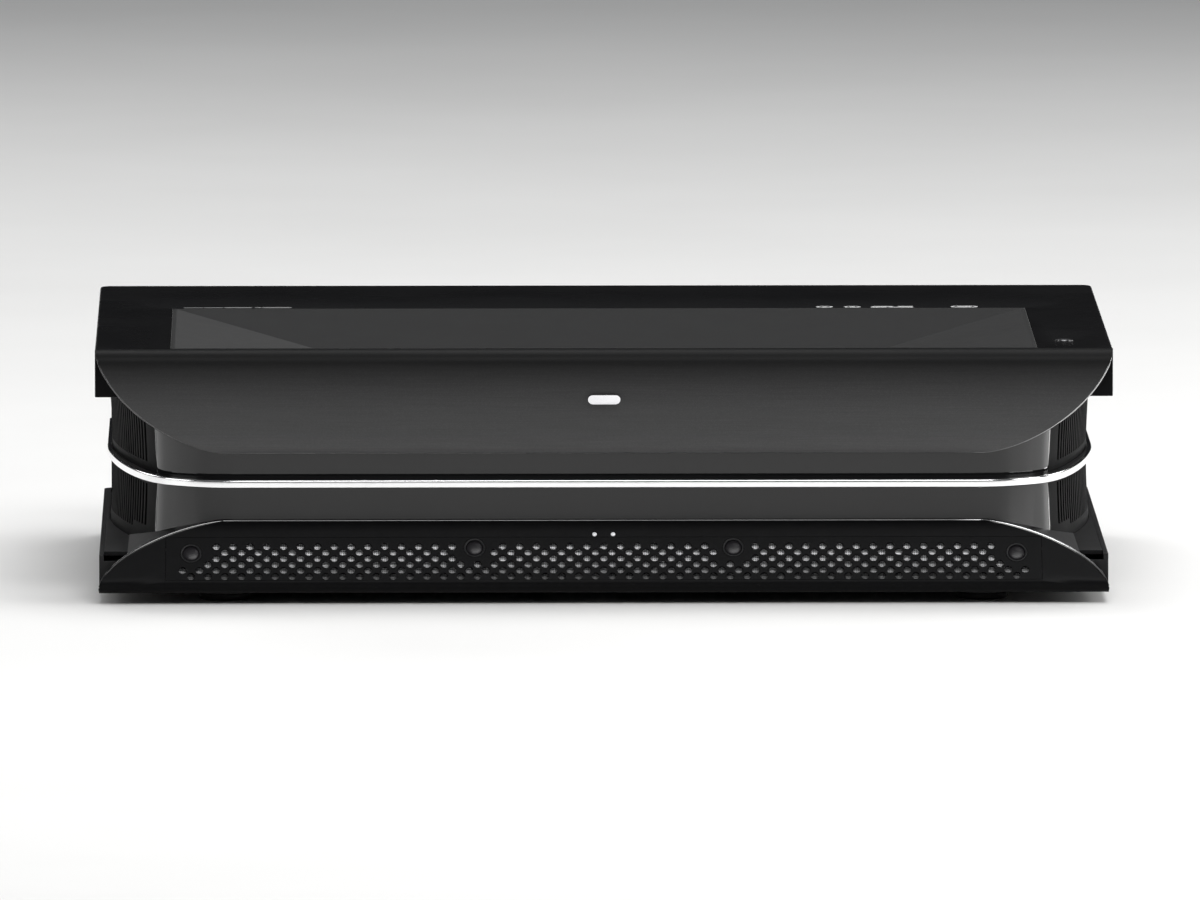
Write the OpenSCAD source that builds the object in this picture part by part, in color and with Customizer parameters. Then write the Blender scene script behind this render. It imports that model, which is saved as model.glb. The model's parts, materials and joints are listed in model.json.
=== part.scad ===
// Ultra-short-throw home projector, built as an assembly.
// Millimetres, +Z up, front faces -Y. Origin on the table under the middle of the casing.

/* [Casing] */
// Overall width of the casing
body_w = 548; // [546:0.5:552]
// Overall depth of the casing
body_d = 348; // [347:0.5:352]
// Overall height, feet screwed in
body_h = 138; // [138:0.5:142]
// Height of the skirt round the top cover
skirt_h = 26; // [24:0.5:27]
// Gap between the table and the underside of the casing
foot_gap = 6; // [6:0.1:6.5]
// Thickness of moulded walls
wall = 2.5; // [2:0.1:2.8]

/* [Front] */
// Height of the upper front panel's lower edge
visor_low = 79.5; // [78:0.5:82]
// Height of the lower front panel's upper edge
lower_top = 43; // [42:0.5:44]
// Height of the bright trim strip's centre line
trim_z = 64; // [60:0.5:65]
// Height of the bright trim strip
trim_h = 4.2; // [3:0.1:6]
// Spacing of the front grille's holes along a row
hole_pitch = 9.08; // [8.4:0.02:9.8]
// Diameter of the front grille's holes
hole_d = 4.2; // [2.6:0.1:4.6]
// Diameter of a presence sensor's lens
sensor_d = 11.4; // [9:0.1:11.6]

/* [Light well] */
// Width of the well's mouth in the top cover
well_w = 462; // [456:1:468]
// Depth of the well's mouth, front to back
well_d = 206; // [200:1:208]
// Width of the projection window
window_w = 148; // [140:1:148]

/* [Sides] */
// Number of vertical slots along each side vent
slots = 42; // [20:1:42]
// Width of one slot
slot_w = 3; // [2:0.1:3.4]

/* [Feet] */
// Distance between the feet, left to right
feet_x = 409; // [405:1:410]
// Distance between the feet, front to back
feet_y = 276; // [274:1:278]
// Diameter of a foot
foot_d = 30; // [26:0.5:32]

/* [Cooling] */
// Size of a square fan frame
fan_size = 80; // [80:1:80]
// Number of fan blades
fan_blades = 9; // [5:1:9]

/* [Hidden] */

W = body_w / 2;
D = body_d / 2;
H = body_h;
SZ = H - skirt_h;            // lower edge of the top cover's skirt
BZ = 26;                     // upper edge of the base's skirt
E = 0.1;                     // assembly gap
BLACK = [0.05, 0.05, 0.055];
DARK = [0.08, 0.08, 0.085];
GREY = [0.27, 0.27, 0.28];
ALU = [0.62, 0.63, 0.65];
PCB = [0.05, 0.22, 0.12];

// ---------- curves ----------
function flat(l) = [for (a = l) for (b = a) b];
function rev(l) = [for (i = [len(l) - 1:-1:0]) l[i]];
function unit(v) = v / norm(v);
// left-hand normals of a 2D polyline
function nrm(p, i) = let (a = p[max(i - 1, 0)], b = p[min(i + 1, len(p) - 1)], t = unit(b - a)) [-t[1], t[0]];
function offs(p, d) = [for (i = [0:len(p) - 1]) p[i] + nrm(p, i) * d];
function cr(a, b, c, d, t) = 0.5 * ((2 * b) + (c - a) * t + (2 * a - 5 * b + 4 * c - d) * t * t + (3 * b - a - 3 * c + d) * t * t * t);
function smooth(p, n) = concat([for (i = [0:len(p) - 2]) for (k = [0:n - 1])
  cr(p[max(i - 1, 0)], p[i], p[i + 1], p[min(i + 2, len(p) - 1)], k / n)], [p[len(p) - 1]]);
function mir(p) = [for (q = p) [-q[0], q[1]]];

// flared ends of the front panels: u runs out from the straight edge to the corner
EXP = 1.55;
function flare(u) = 1 - pow(1 - pow(u, EXP), 1 / EXP);
US = [0, 0.12, 0.24, 0.36, 0.48, 0.58, 0.67, 0.75, 0.82, 0.88, 0.93, 0.965, 0.987, 1];
function upper_end() = [for (u = US) [205 + (W - 205) * u, visor_low + (H - visor_low) * flare(u)]];
function lower_end() = [for (u = US) [205 + (W - 2 - 205) * u, lower_top - (lower_top - 10) * flare(u)]];

// front profile of the upper panel, from its top return round the nose and down, as [y, z]
function visor_profile() = concat(
  [for (a = [90:11.25:180]) [-D + 8 + 8 * cos(a), H - 8 + 8 * sin(a)]],
  [for (k = [1:10]) let (w = k / 10, z = (H - 10) - (H - 10 - visor_low) * w) [-D + 26.5 * pow(w, 2.2), z]]);
// front profile of the lower panel, from its bottom return round and up, as [y, z]
function lower_profile() = [[-160, foot_gap], [-166.5, foot_gap], [-168.8, 6.9], [-170.5, 8.8], [-171, 10.8],
  [-170.9, 12.4], [-153, 37.53], [-150.6, 40.4], [-147.6, lower_top]];
function lower_inner() = [[-146.2, lower_top - 2.4], [-148.6, 38.6], [-150.72, 35.9], [-167.1, 12.9], [-168.1, 11.2],
  [-167.8, 10], [-166.6, 8.8], [-165.4, foot_gap + 2.4], [-160, foot_gap + 2.4]];

// plan outline of the casing's core, right half, front to back
CORE0 = [[200, -144], [214, -141.5], [226, -134.5], [235, -125], [241, -114], [248, -92], [254, -66],
  [259.5, -38], [263.5, -10], [266, 20]];
CORE = concat([[0, -144]], smooth(CORE0, 2), [[266, 90], [266, 163]]);
SPLIT = 9;                   // index where the waist panel ends and the side panel starts
TRIM0 = [[205, -158], [216, -155.5], [228, -149], [238, -139], [246, -124], [252.5, -104], [258, -80],
  [262.5, -54], [266, -26], [268.3, 0], [269, 24]];
TRIM = concat([[0, -158]], smooth(TRIM0, 2), [[269, 160]]);
// how far the core swells above and below the trim line
ZS = [22, 34, 48, 62, 76, 92, 116];
function swell(z) = 3 * pow(abs(z - 62) / 54, 1.7);
function core_at(z, d = 0) = offs(CORE, -swell(z) - d);

// ---------- solids from grids ----------
module sheet(outer, inner) {
  nr = len(outer);
  nc = len(outer[0]);
  n = nr * nc;
  pts = concat(flat(outer), flat(inner));
  f = concat(
    [for (r = [0:nr - 2]) for (c = [0:nc - 2]) for (t = [[r * nc + c, (r + 1) * nc + c, (r + 1) * nc + c + 1], [r * nc + c, (r + 1) * nc + c + 1, r * nc + c + 1]]) t],
    [for (r = [0:nr - 2]) for (c = [0:nc - 2]) for (t = [[r * nc + c, (r + 1) * nc + c + 1, (r + 1) * nc + c], [r * nc + c, r * nc + c + 1, (r + 1) * nc + c + 1]]) [t[0] + n, t[1] + n, t[2] + n]],
    [for (c = [0:nc - 2]) for (t = [[c, c + 1, n + c + 1], [c, n + c + 1, n + c]]) t],
    [for (c = [0:nc - 2]) let (a = (nr - 1) * nc + c) for (t = [[a + 1, a, n + a], [a + 1, n + a, n + a + 1]]) t],
    [for (r = [0:nr - 2]) let (a = r * nc, b = (r + 1) * nc) for (t = [[b, a, n + a], [b, n + a, n + b]]) t],
    [for (r = [0:nr - 2]) let (a = r * nc + nc - 1, b = (r + 1) * nc + nc - 1) for (t = [[a, b, n + b], [a, n + b, n + a]]) t]);
  polyhedron(pts, f, convexity = 8);
}
// closed loft through rings of equal length, lowest first, each ring anticlockwise from above
module loft(rings) {
  m = len(rings[0]);
  k = len(rings);
  f = concat(
    [[for (i = [0:m - 1]) i]],
    [for (r = [0:k - 2]) for (i = [0:m - 1]) let (j = (i + 1) % m) for (t = [[r * m + i, (r + 1) * m + i, (r + 1) * m + j], [r * m + i, (r + 1) * m + j, r * m + j]]) t],
    [[for (i = [m - 1:-1:0]) (k - 1) * m + i]]);
  polyhedron(flat(rings), f, convexity = 8);
}
// a [y, z] outline run across the full width
module across(p, w = 2 * W + 20) rotate([90, 0, 90]) linear_extrude(w, center = true) polygon(p);
// an [x, z] outline run front to back
module along(p, y0, y1) translate([0, y1, 0]) rotate([90, 0, 0]) linear_extrude(y1 - y0) polygon(p);
module rr(w, d, r) {
  hull2 = [[w - r, d - r], [-(w - r), d - r], [-(w - r), -(d - r)], [w - r, -(d - r)]];
  union() {
    square([2 * w, 2 * (d - r)], center = true);
    square([2 * (w - r), 2 * d], center = true);
    for (p = hull2) translate(p) circle(r, $fn = 48);
  }
}
module plan_tube(w, d, r, t, h) linear_extrude(h) difference() {
  rr(w, d, r);
  rr(w - t, d - t, max(r - t, 1));
}
function tail(l) = [for (i = [1:len(l) - 1]) l[i]];
function core_ring(z, d) = let (h = core_at(z, d)) [for (q = concat(h, rev(mir(tail(h))))) [q[0], q[1], z]];
// the core as one solid, grown by d
module core_solid(d, z0 = 22, z1 = 116) loft([for (z = concat([z0], [for (q = ZS) if (q > z0 && q < z1) q], [z1])) core_ring(z, d)]);
module core_sheet(i0, i1) {
  sheet([for (z = ZS) [for (i = [i0:i1]) let (p = core_at(z)[i]) [p[0], p[1], z]]],
        [for (z = ZS) [for (i = [i0:i1]) let (p = core_at(z, -wall)[i]) [p[0], p[1], z]]]);
}

// ---------- top cover and light well ----------
WELL = [[W - (body_w - well_w) / 2, -160 + well_d], [W - (body_w - well_w) / 2, -160]]; // rear and front corners of the mouth
WX = window_w / 2 + 1;
function well_pts(g, zt) = [
  [WELL[0][0] + g, WELL[0][1] + g, zt], [-WELL[0][0] - g, WELL[0][1] + g, zt], [-WELL[1][0] - g, WELL[1][1] - g, zt], [WELL[1][0] + g, WELL[1][1] - g, zt],
  [WELL[0][0] + g, WELL[0][1] + g, H - g * 0.9], [-WELL[0][0] - g, WELL[0][1] + g, H - g * 0.9], [-WELL[1][0] - g, WELL[1][1] - g, H - g * 0.9], [WELL[1][0] + g, WELL[1][1] - g, H - g * 0.9],
  [WX + g * 0.4, -100 + g * 0.4, 108 - g * 1.213], [-WX - g * 0.4, -100 + g * 0.4, 108 - g * 1.213], [-WX - g * 0.4, -154 - g * 0.8, 126 - g * 0.813], [WX + g * 0.4, -154 - g * 0.8, 126 - g * 0.813]];
module well_solid(g, zt) polyhedron(well_pts(g, zt), [
  [3, 2, 1, 0], [0, 1, 5, 4], [1, 2, 6, 5], [2, 3, 7, 6], [3, 0, 4, 7],
  [4, 5, 9, 8], [6, 7, 11, 10], [8, 9, 10, 11],
  [4, 8, 7], [7, 8, 11], [5, 6, 9], [6, 10, 9]], convexity = 4);
// a frame on the window's slope: local z points out of the window
module on_window() translate([0, -127, 117]) rotate([-18.435, 0, 0]) children();

BUTTON = [249, -125];
module top_deck() color(BLACK) {
  difference() {
    union() {
      difference() {
        translate([0, 0, H - 3]) linear_extrude(3) rr(W, D, 6);
        translate([-W - 1, -D - 1, H - 4]) cube([2 * W + 2, 9.3, 6]);
      }
      difference() {
        translate([0, 0, SZ]) plan_tube(W, D, 6, wall, skirt_h - 2);
        translate([-W - 1, -D - 1, SZ - 1]) cube([2 * W + 2, 9.3, skirt_h + 2]);
      }
      translate([-W + 1, -D + 8.3, SZ]) cube([2 * W - 2, wall, skirt_h - 2]);
      for (s = [-1, 1], q = [[250, 150], [250, 27], [241, -85]]) translate([s * q[0], q[1], 54]) cylinder(h = H - 56, r = 4, $fn = 48);
      translate([BUTTON[0], BUTTON[1], H - 14]) cylinder(h = 12, r = 8, $fn = 64);
    }
    well_solid(wall + E, H + 2);
    for (s = [-1, 1], q = [[250, 150], [250, 27], [241, -85]]) translate([s * q[0], q[1], 53]) cylinder(h = 20, r = 1.5, $fn = 32);
    translate([BUTTON[0], BUTTON[1], H - 15]) cylinder(h = 20, r = 5.1, $fn = 64);
    translate([BUTTON[0], BUTTON[1], H - 15]) cylinder(h = 12, r = 6.4, $fn = 64);
  }
}
module well_liner() color(GREY) difference() {
  well_solid(wall, H);
  well_solid(0, H + 1);
  on_window() cube([window_w - 8, 46, 20], center = true);
}
module window_glass() color([0.35, 0.4, 0.45, 0.4]) on_window() translate([0, 0, -4.1]) cube([window_w, 53, 2.6], center = true);
module power_button() color(DARK) translate([BUTTON[0], BUTTON[1], 0]) union() {
  translate([0, 0, H - 5]) cylinder(h = 5.4, r = 5, $fn = 64);
  translate([0, 0, H - 5]) cylinder(h = 1.7, r = 6.1, $fn = 64);
  translate([0, 0, H - 8.2]) cylinder(h = 4, r = 2.5, $fn = 32);
}
module button_board() color(PCB) translate([BUTTON[0], BUTTON[1], 0]) union() {
  translate([0, 0, H - 17.4]) cylinder(h = 1.6, r = 7.6, $fn = 64);
  translate([-3, -3, H - 15.9]) cube([6, 6, 3.6]);
  translate([0, 0, H - 12.5]) cylinder(h = 3.1, r = 1.7, $fn = 32);
  translate([0, 0, H - 15.9]) difference() { cylinder(h = 1.9, r = 7.6, $fn = 64); translate([0, 0, -1]) cylinder(h = 4, r = 6.5, $fn = 64); }
}

// ---------- front ----------
VP = visor_profile();
LP = lower_profile();
module visor_sheet() across(concat(VP, [[-144.6, visor_low], [-144.6, visor_low + 2.4]], [for (i = [len(VP) - 1:-1:0]) let (q = VP[i] + nrm(VP, i) * 2.9) if (i < len(VP) - 1) (i == 0 ? [VP[0][0], H - 2.9] : q)]));
UE = upper_end();
LE = lower_end();
function closed(e, zc) = concat(e, [[e[len(e) - 1][0], zc]], [[-e[len(e) - 1][0], zc]], rev(mir(e)));
module fascia_visor() color(GREY) difference() {
  union() {
    intersection() {
      visor_sheet();
      along(closed(UE, H + 1), -D - 5, -140);
      translate([0, 0, 60]) linear_extrude(H) rr(W, D, 6);
    }
    // swept side walls, from the panel back to the core
    intersection() {
      for (m = [0, 1]) mirror([m, 0, 0]) along(concat(UE, rev(offs(UE, 2.6))), -D, -20);
      across(concat(VP, [[-10, visor_low], [-10, H]]));
      translate([-W, -D, 60]) cube([2 * W, D, SZ - E - 60]);
    }
  }
  core_solid(0.25, 60, SZ + 6);
}
module fascia_badge() color([0.75, 0.76, 0.78]) translate([0, -D + 1.67, 111.4]) rotate([107.6, 0, 0]) linear_extrude(0.9) union() {
  square([12, 5.6], center = true);
  for (s = [-1, 1]) translate([s * 6, 0]) circle(2.8, $fn = 48);
}
module waist_panel() color(GREY) {
  nS = SPLIT;
  f = [for (z = ZS) let (h = core_at(z)) [for (q = concat([for (i = [nS:-1:1]) [-h[i][0], h[i][1]]], [for (i = [0:nS]) h[i]])) [q[0], q[1], z]]];
  g = [for (z = ZS) let (h = core_at(z, -wall)) [for (q = concat([for (i = [nS:-1:1]) [-h[i][0], h[i][1]]], [for (i = [0:nS]) h[i]])) [q[0], q[1], z]]];
  sheet(f, g);
}
module trim_shelf() color(BLACK) translate([0, 0, trim_z - 1.3]) linear_extrude(2.6) {
  a = offs(CORE, -E - 0.05);
  b = offs(TRIM, 2.25);
  na = len(CORE) - 3;
  nb = len(TRIM) - 2;
  h = concat([for (i = [0:nb]) b[i]], [for (i = [na:-1:0]) a[i]]);
  polygon(concat([for (i = [0:nb]) b[i]], [for (i = [na:-1:1]) a[i]], mir([for (i = [0:na]) a[i]]), mir([for (i = [nb:-1:1]) b[i]])));
}
module waist_trim() color([0.85, 0.86, 0.88]) translate([0, 0, trim_z - trim_h / 2]) linear_extrude(trim_h) {
  b = offs(TRIM, 2.2);
  n = len(TRIM) - 1;
  polygon(concat([for (i = [0:n]) TRIM[i]], rev(b), [for (i = [1:n]) [-b[i][0], b[i][1]]], rev([for (i = [1:n]) [-TRIM[i][0], TRIM[i][1]]])));
}
// frame on the lower panel's sloping face: x across, y up the slope, z out of the face
module on_grille() translate([0, -170.19, 13.4]) rotate([54.55, 0, 0]) children();
GX = 236;                    // half-length of the grille plate
GV = 26.2;                   // its height up the slope
SENSORS = [[-222.5, 16.4], [-69.7, 19.7], [69.7, 19.7], [222.5, 16.4]];
LIGHT_V = 28;
module lower_visor() color(DARK) difference() {
  union() {
    intersection() {
      across(concat(LP, [[-144.6, lower_top], [-144.6, lower_top - 2.4]], lower_inner()));
      along(concat(LE, [[W - 2, 5], [-(W - 2), 5]], rev(mir(LE))), -D - 5, -140);
      translate([0, 0, 0]) linear_extrude(60) rr(W - 2, D - 2.5, 6);
    }
    intersection() {
      for (m = [0, 1]) mirror([m, 0, 0]) along(concat(LE, rev(offs(LE, -2.6))), -D, -20);
      across(concat(LP, [[-10, lower_top], [-10, foot_gap]]));
      translate([-W, -D, BZ + E]) cube([2 * W, D, 40]);
    }
  }
  core_solid(0.25, 20, 80);
  on_grille() translate([-GX - 0.2, -0.2, -6]) cube([2 * GX + 0.4, GV + 0.4, 12]);
  for (s = [-1, 1]) on_grille() translate([5 * s, LIGHT_V, -6]) cylinder(h = 12, r = 1.35, $fn = 32);
}
ROWS = [20.9, 17.2, 13.5, 9.8, 6.1, 2.4];
function clear_of(x, v) = min([for (s = SENSORS) norm([x - s[0], v - s[1]])]) > sensor_d / 2 + hole_d / 2 + 1.4;
function row_holes(r) = let (o = (r % 2) * 0.5, lim = 211 + 2.5 * r) [for (i = [-27:27]) let (x = (i + o) * hole_pitch)
  if (clear_of(x, ROWS[r]) && (abs(x) < lim || (r > 1 && r < 5 && abs(x) < 236 - 1.5 * r && abs(x) > 226)) && abs(x) < GX - 3) [x, ROWS[r]]];
module front_grille() color(BLACK) on_grille() difference() {
  translate([0, 0, -1.4]) linear_extrude(1.4) difference() {
    translate([-GX, 0]) square([2 * GX, GV]);
    for (r = [0:5]) for (q = row_holes(r)) translate(q) circle(d = hole_d, $fn = 24);
    for (s = SENSORS) translate(s) circle(d = sensor_d + 0.2, $fn = 64);
  }
}
module grille_mesh() color([0.7, 0.7, 0.72]) on_grille() translate([0, 0, -3.6]) linear_extrude(0.6) difference() {
  translate([-GX + 2, 1]) square([2 * GX - 4, GV - 2.4]);
  for (s = SENSORS) translate(s) circle(d = sensor_d + 1, $fn = 48);
}
module sensor_lenses() color([0.12, 0.1, 0.12]) on_grille() for (s = SENSORS) translate([s[0], s[1], 0]) union() {
  translate([0, 0, -7]) cylinder(h = 7, r = sensor_d / 2, $fn = 64);
  intersection() {
    translate([0, 0, -20]) sphere(r = 21.2, $fn = 96);
    translate([0, 0, -0.5]) cylinder(h = 3, r = sensor_d / 2, $fn = 64);
  }
}
module status_lights() color([0.95, 0.95, 1]) on_grille() for (s = [-1, 1]) translate([5 * s, LIGHT_V, -5]) cylinder(h = 5.5, r = 1.25, $fn = 32);
module corner_ledges() color(BLACK) {
  difference() {
    translate([0, 0, SZ - E + 0.15]) linear_extrude(2.3) difference() { rr(W - wall - 0.15, D - wall - 0.15, 4); translate([-W, -D]) square([2 * W, 10.95]); }
    core_solid(0.3, 100, SZ + 6);
    translate([-268.3, 150, SZ - 10]) cube([536.6, 15.9, 30]);
    for (s = [-1, 1], q = [[250, 150], [250, 27], [241, -85]]) translate([s * q[0], q[1], 54]) cylinder(h = 80, r = 4.2, $fn = 48);
  }
  difference() {
    translate([0, 0, BZ - 2.4]) linear_extrude(2.3) difference() { rr(W - 2 - wall - 0.15, D - 1 - wall - 0.15, 4); translate([-W, -D]) square([2 * W, 32]); }
    core_solid(0.3, 20, 60);
    translate([-268.3, 150, 10]) cube([536.6, 15.9, 30]);
  }
}

// ---------- sides and back ----------
module side_panel() {
  difference() {
    core_sheet(SPLIT, len(CORE) - 1);
    for (i = [0:slots - 1]) let (y = -98 + i * 6, hi = i < 10 ? 106 - (10 - i) * 0.9 : 106, lo = i < 10 ? 32 + (10 - i) * 0.3 : 32) if (y < 152) {
      translate([225, y, trim_z + 6]) cube([60, slot_w, hi - trim_z - 6]);
      translate([225, y, lo]) cube([60, slot_w, trim_z - 6 - lo]);
    }
  }
}
module side_panel_right() color(BLACK) side_panel();
module side_panel_left() color(BLACK) mirror([1, 0, 0]) side_panel();
IOX = [-108, 68];
IOZ = [80, 106];
module rear_panel() color(BLACK) difference() {
  translate([-268, 163.2, 22]) cube([536, wall, 94]);
  translate([IOX[0], 160, IOZ[0]]) cube([IOX[1] - IOX[0], 10, IOZ[1] - IOZ[0]]);
  translate([165 - 13.7, 160, 45 - 9.7]) cube([27.4, 10, 19.4]);
  for (i = [0:21]) translate([-240 + i * 6, 160, 34]) cube([3, 10, 34]);
  for (i = [0:7]) translate([200 + i * 6, 160, 34]) cube([3, 10, 34]);
  for (i = [0:18]) translate([-6 + i * 6, 160, 34]) cube([3, 10, 34]);
}
module port_hole(x, w, z0, h) translate([x - w / 2, 140, z0]) cube([w, 30, h]);
LANX = -92; USBX = [-68, -48]; HDMIX = [-24, -3, 18]; OPTX = 38; JACKX = 55;
PZ = 85.7;
module io_plate() color([0.1, 0.1, 0.11]) difference() {
  translate([IOX[0] + E, 150, IOZ[0] + E]) cube([IOX[1] - IOX[0] - 2 * E, 15.7, IOZ[1] - IOZ[0] - 2 * E]);
  translate([IOX[0] + 2, 152, IOZ[0] + 2]) cube([IOX[1] - IOX[0] - 4, 20, IOZ[1] - IOZ[0] - 4]);
  port_hole(LANX, 16.4, PZ - 0.2, 13.9);
  for (x = USBX) port_hole(x, 14.9, PZ - 0.2, 7.5);
  for (x = HDMIX) port_hole(x, 15.5, PZ - 0.2, 6.4);
  port_hole(OPTX, 10.4, PZ - 0.2, 10.4);
  translate([JACKX, 140, PZ + 5]) rotate([-90, 0, 0]) cylinder(h = 30, r = 4.15, $fn = 48);
}
module socket(x, w, d, h, cw, ch, cd, tw, th, tl) translate([x - w / 2, 154 - d, PZ]) union() {
  difference() {
    cube([w, d, h]);
    translate([(w - cw) / 2, d - cd, (h - ch) / 2]) cube([cw, cd + 1, ch]);
  }
  translate([(w - tw) / 2, d - cd - 0.5, (h - th) / 2]) cube([tw, tl + 0.5, th]);
}
module hdmi_ports() color([0.72, 0.72, 0.72]) for (x = HDMIX) socket(x, 15, 12, 6, 14, 4.6, 10.5, 11, 1.1, 8);
module usb_ports() color([0.72, 0.72, 0.72]) for (x = USBX) socket(x, 14.4, 14, 7, 12.6, 5.2, 12.4, 11, 1.8, 10);
module lan_port() color([0.72, 0.72, 0.72]) translate([LANX - 8, 132, PZ]) difference() {
  cube([16, 22, 13.4]);
  translate([2.1, 9, 1.2]) cube([11.8, 20, 7.6]);
  translate([5, 9, 8]) cube([6, 20, 3.4]);
}
module audio_ports() color(BLACK) {
  translate([OPTX - 5, 140, PZ]) difference() {
    cube([10, 14, 10]);
    translate([2.2, 4, 2.2]) cube([5.6, 12, 5.6]);
  }
  difference() {
    union() {
      translate([JACKX - 5.5, 138, PZ]) cube([11, 11.8, 10]);
      translate([JACKX, 149, PZ + 5]) rotate([-90, 0, 0]) cylinder(h = 5, r = 4, $fn = 48);
    }
    translate([JACKX, 139.9, PZ + 5]) rotate([-90, 0, 0]) cylinder(h = 20, r = 1.8, $fn = 48);
  }
}
INX = 165; INZ = 45;
module ac_inlet() color(BLACK) difference() {
  union() {
    translate([INX - 13.5, 144, INZ - 9.5]) cube([27, 22, 19]);
    translate([INX - 15.5, 165.9, INZ - 11.5]) cube([31, 2.4, 23]);
  }
  translate([INX - 12, 151, INZ - 8]) cube([24, 20, 16]);
}
module inlet_pins() color([0.8, 0.8, 0.78]) for (q = [[-7, -2.4], [7, -2.4], [0, 3.4]]) translate([INX + q[0] - 1, 151, INZ + q[1] - 2]) cube([2, 13.5, 4]);

// ---------- base, feet and fasteners ----------
POSTS = [[250, 150], [250, 27], [241, -85]];
BOLTX = 110; BOLTY = 115;
FX = feet_x / 2; FY = feet_y / 2;
module base_shell() color(BLACK) difference() {
  union() {
    translate([0, 0, foot_gap]) linear_extrude(3) difference() { rr(W - 2, D - 1, 6); translate([-W, -D]) square([2 * W, D - 159.9]); }
    difference() {
      translate([0, 0, foot_gap + 1]) plan_tube(W - 2, D - 1, 6, wall, BZ - foot_gap - 1);
      translate([-W, -D, 0]) cube([2 * W, D - 159.9, 60]);
    }
    for (s = [-1, 1]) translate([s * 254 - 16, -159.9, foot_gap + 1]) cube([32, wall, 15.6]);
    for (s = [-1, 1], q = POSTS) translate([s * q[0], q[1], foot_gap + 1]) cylinder(h = 46.8, r = 4.8, $fn = 48);
    for (s = [-1, 1], t = [-1, 1]) {
      translate([s * FX, t * FY, foot_gap + 1]) cylinder(h = 14.7, r = 8, $fn = 64);
      translate([s * BOLTX, t * BOLTY, foot_gap + 1]) cylinder(h = 13, r = 7, $fn = 64);
    }
    // standoffs: power board, main board and optical sled
    for (q = [[124, -48], [199, -48], [124, 128], [199, 128]]) translate([q[0], q[1], 8]) cylinder(h = 12, r = 3.5, $fn = 32);
    for (q = [[-104, 143], [106, 143]]) translate([q[0], q[1], 8]) cylinder(h = 76, r = 3.5, $fn = 32);
    // blocks under the laser heatsink and the fans
    translate([-196, 4, 8]) cube([80, 6, 15.9]);
    translate([-196, 100, 8]) cube([80, 6, 15.9]);
    for (q = [[-238, -56], [-238, 34], [213, 12]]) for (k = [0, 64]) translate([q[0] + 2, q[1] + k, 8]) cube([21, 8, 11.9]);
    // speaker rests
    for (s = [-1, 1], x = [128, 188]) translate([s * x - 4, -100, 8]) cube([8, 24, 17.9]);
  }
  for (s = [-1, 1], q = POSTS) {
    translate([s * q[0], q[1], 0]) cylinder(h = 51, r = 3.1, $fn = 48);
    translate([s * q[0], q[1], 0]) cylinder(h = 60, r = 1.7, $fn = 32);
  }
  for (s = [-1, 1], t = [-1, 1]) {
    translate([s * FX, t * FY, 0]) cylinder(h = 40, r = 5, $fn = 64);
    translate([s * BOLTX, t * BOLTY, 0]) cylinder(h = 18, r = 3, $fn = 64);
  }
  // intake slots in the floor
  for (i = [0:15], s = [-1, 1]) translate([s * 65 - 40, -60 + i * 9, 0]) cube([80, 3.2, 20]);
  for (q = [[124, -48], [199, -48], [124, 128], [199, 128]]) translate([q[0], q[1], 10]) cylinder(h = 12, r = 1.25, $fn = 32);
  for (q = [[-104, 143], [106, 143]]) translate([q[0], q[1], 74]) cylinder(h = 12, r = 1.25, $fn = 32);
}
module case_screws() color([0.2, 0.2, 0.21]) {
  for (s = [-1, 1], q = POSTS) translate([s * q[0], q[1], 0]) difference() {
    union() {
      translate([0, 0, 48.3]) cylinder(h = 2.6, r = 2.8, $fn = 32);
      translate([0, 0, 50]) cylinder(h = 20, r = 1.45, $fn = 32);
    }
    for (a = [0, 90]) rotate([0, 0, a]) translate([-1.6, -0.4, 48]) cube([3.2, 0.8, 1.5]);
  }
  for (q = [[124, -48, 21.7], [199, -48, 21.7], [124, 128, 21.7], [199, 128, 21.7], [-104, 143, 85.7], [106, 143, 85.7]]) translate([q[0], q[1], q[2]]) union() {
    cylinder(h = 1.8, r = 2.5, $fn = 32);
    translate([0, 0, -8]) cylinder(h = 8.5, r = 1.2, $fn = 32);
  }
}
module foot_inserts() color([0.72, 0.58, 0.3]) for (s = [-1, 1], t = [-1, 1]) translate([s * FX, t * FY, foot_gap + 1]) difference() {
  cylinder(h = 14.7, r = 5, $fn = 64);
  translate([0, 0, -1]) cylinder(h = 20, r = 3.05, $fn = 64);
}
module foot_pad(s, t) color([0.07, 0.07, 0.07]) translate([s * FX, t * FY, 0]) difference() {
  union() {
    cylinder(h = 1, r1 = foot_d / 2 - 2, r2 = foot_d / 2 - 1, $fn = 96);
    translate([0, 0, 1]) cylinder(h = 2.4, r = foot_d / 2 - 1, $fn = 96);
  }
  translate([0, 0, 1.4]) cylinder(h = 5, r = 2.55, $fn = 48);
}
module foot_screw(s, t) color([0.16, 0.16, 0.17]) translate([s * FX, t * FY, 0]) union() {
  difference() {
    translate([0, 0, 3.7]) cylinder(h = 2, r = foot_d / 2, $fn = 96);
    for (a = [0:15:345]) rotate([0, 0, a]) translate([foot_d / 2 + 0.5, 0, 3]) cylinder(h = 4, r = 1.2, $fn = 24);
  }
  translate([0, 0, 1.5]) cylinder(h = 2.5, r = 2.5, $fn = 48);
  translate([0, 0, 5]) cylinder(h = 15.5, r = 3, $fn = 64);
}

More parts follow.
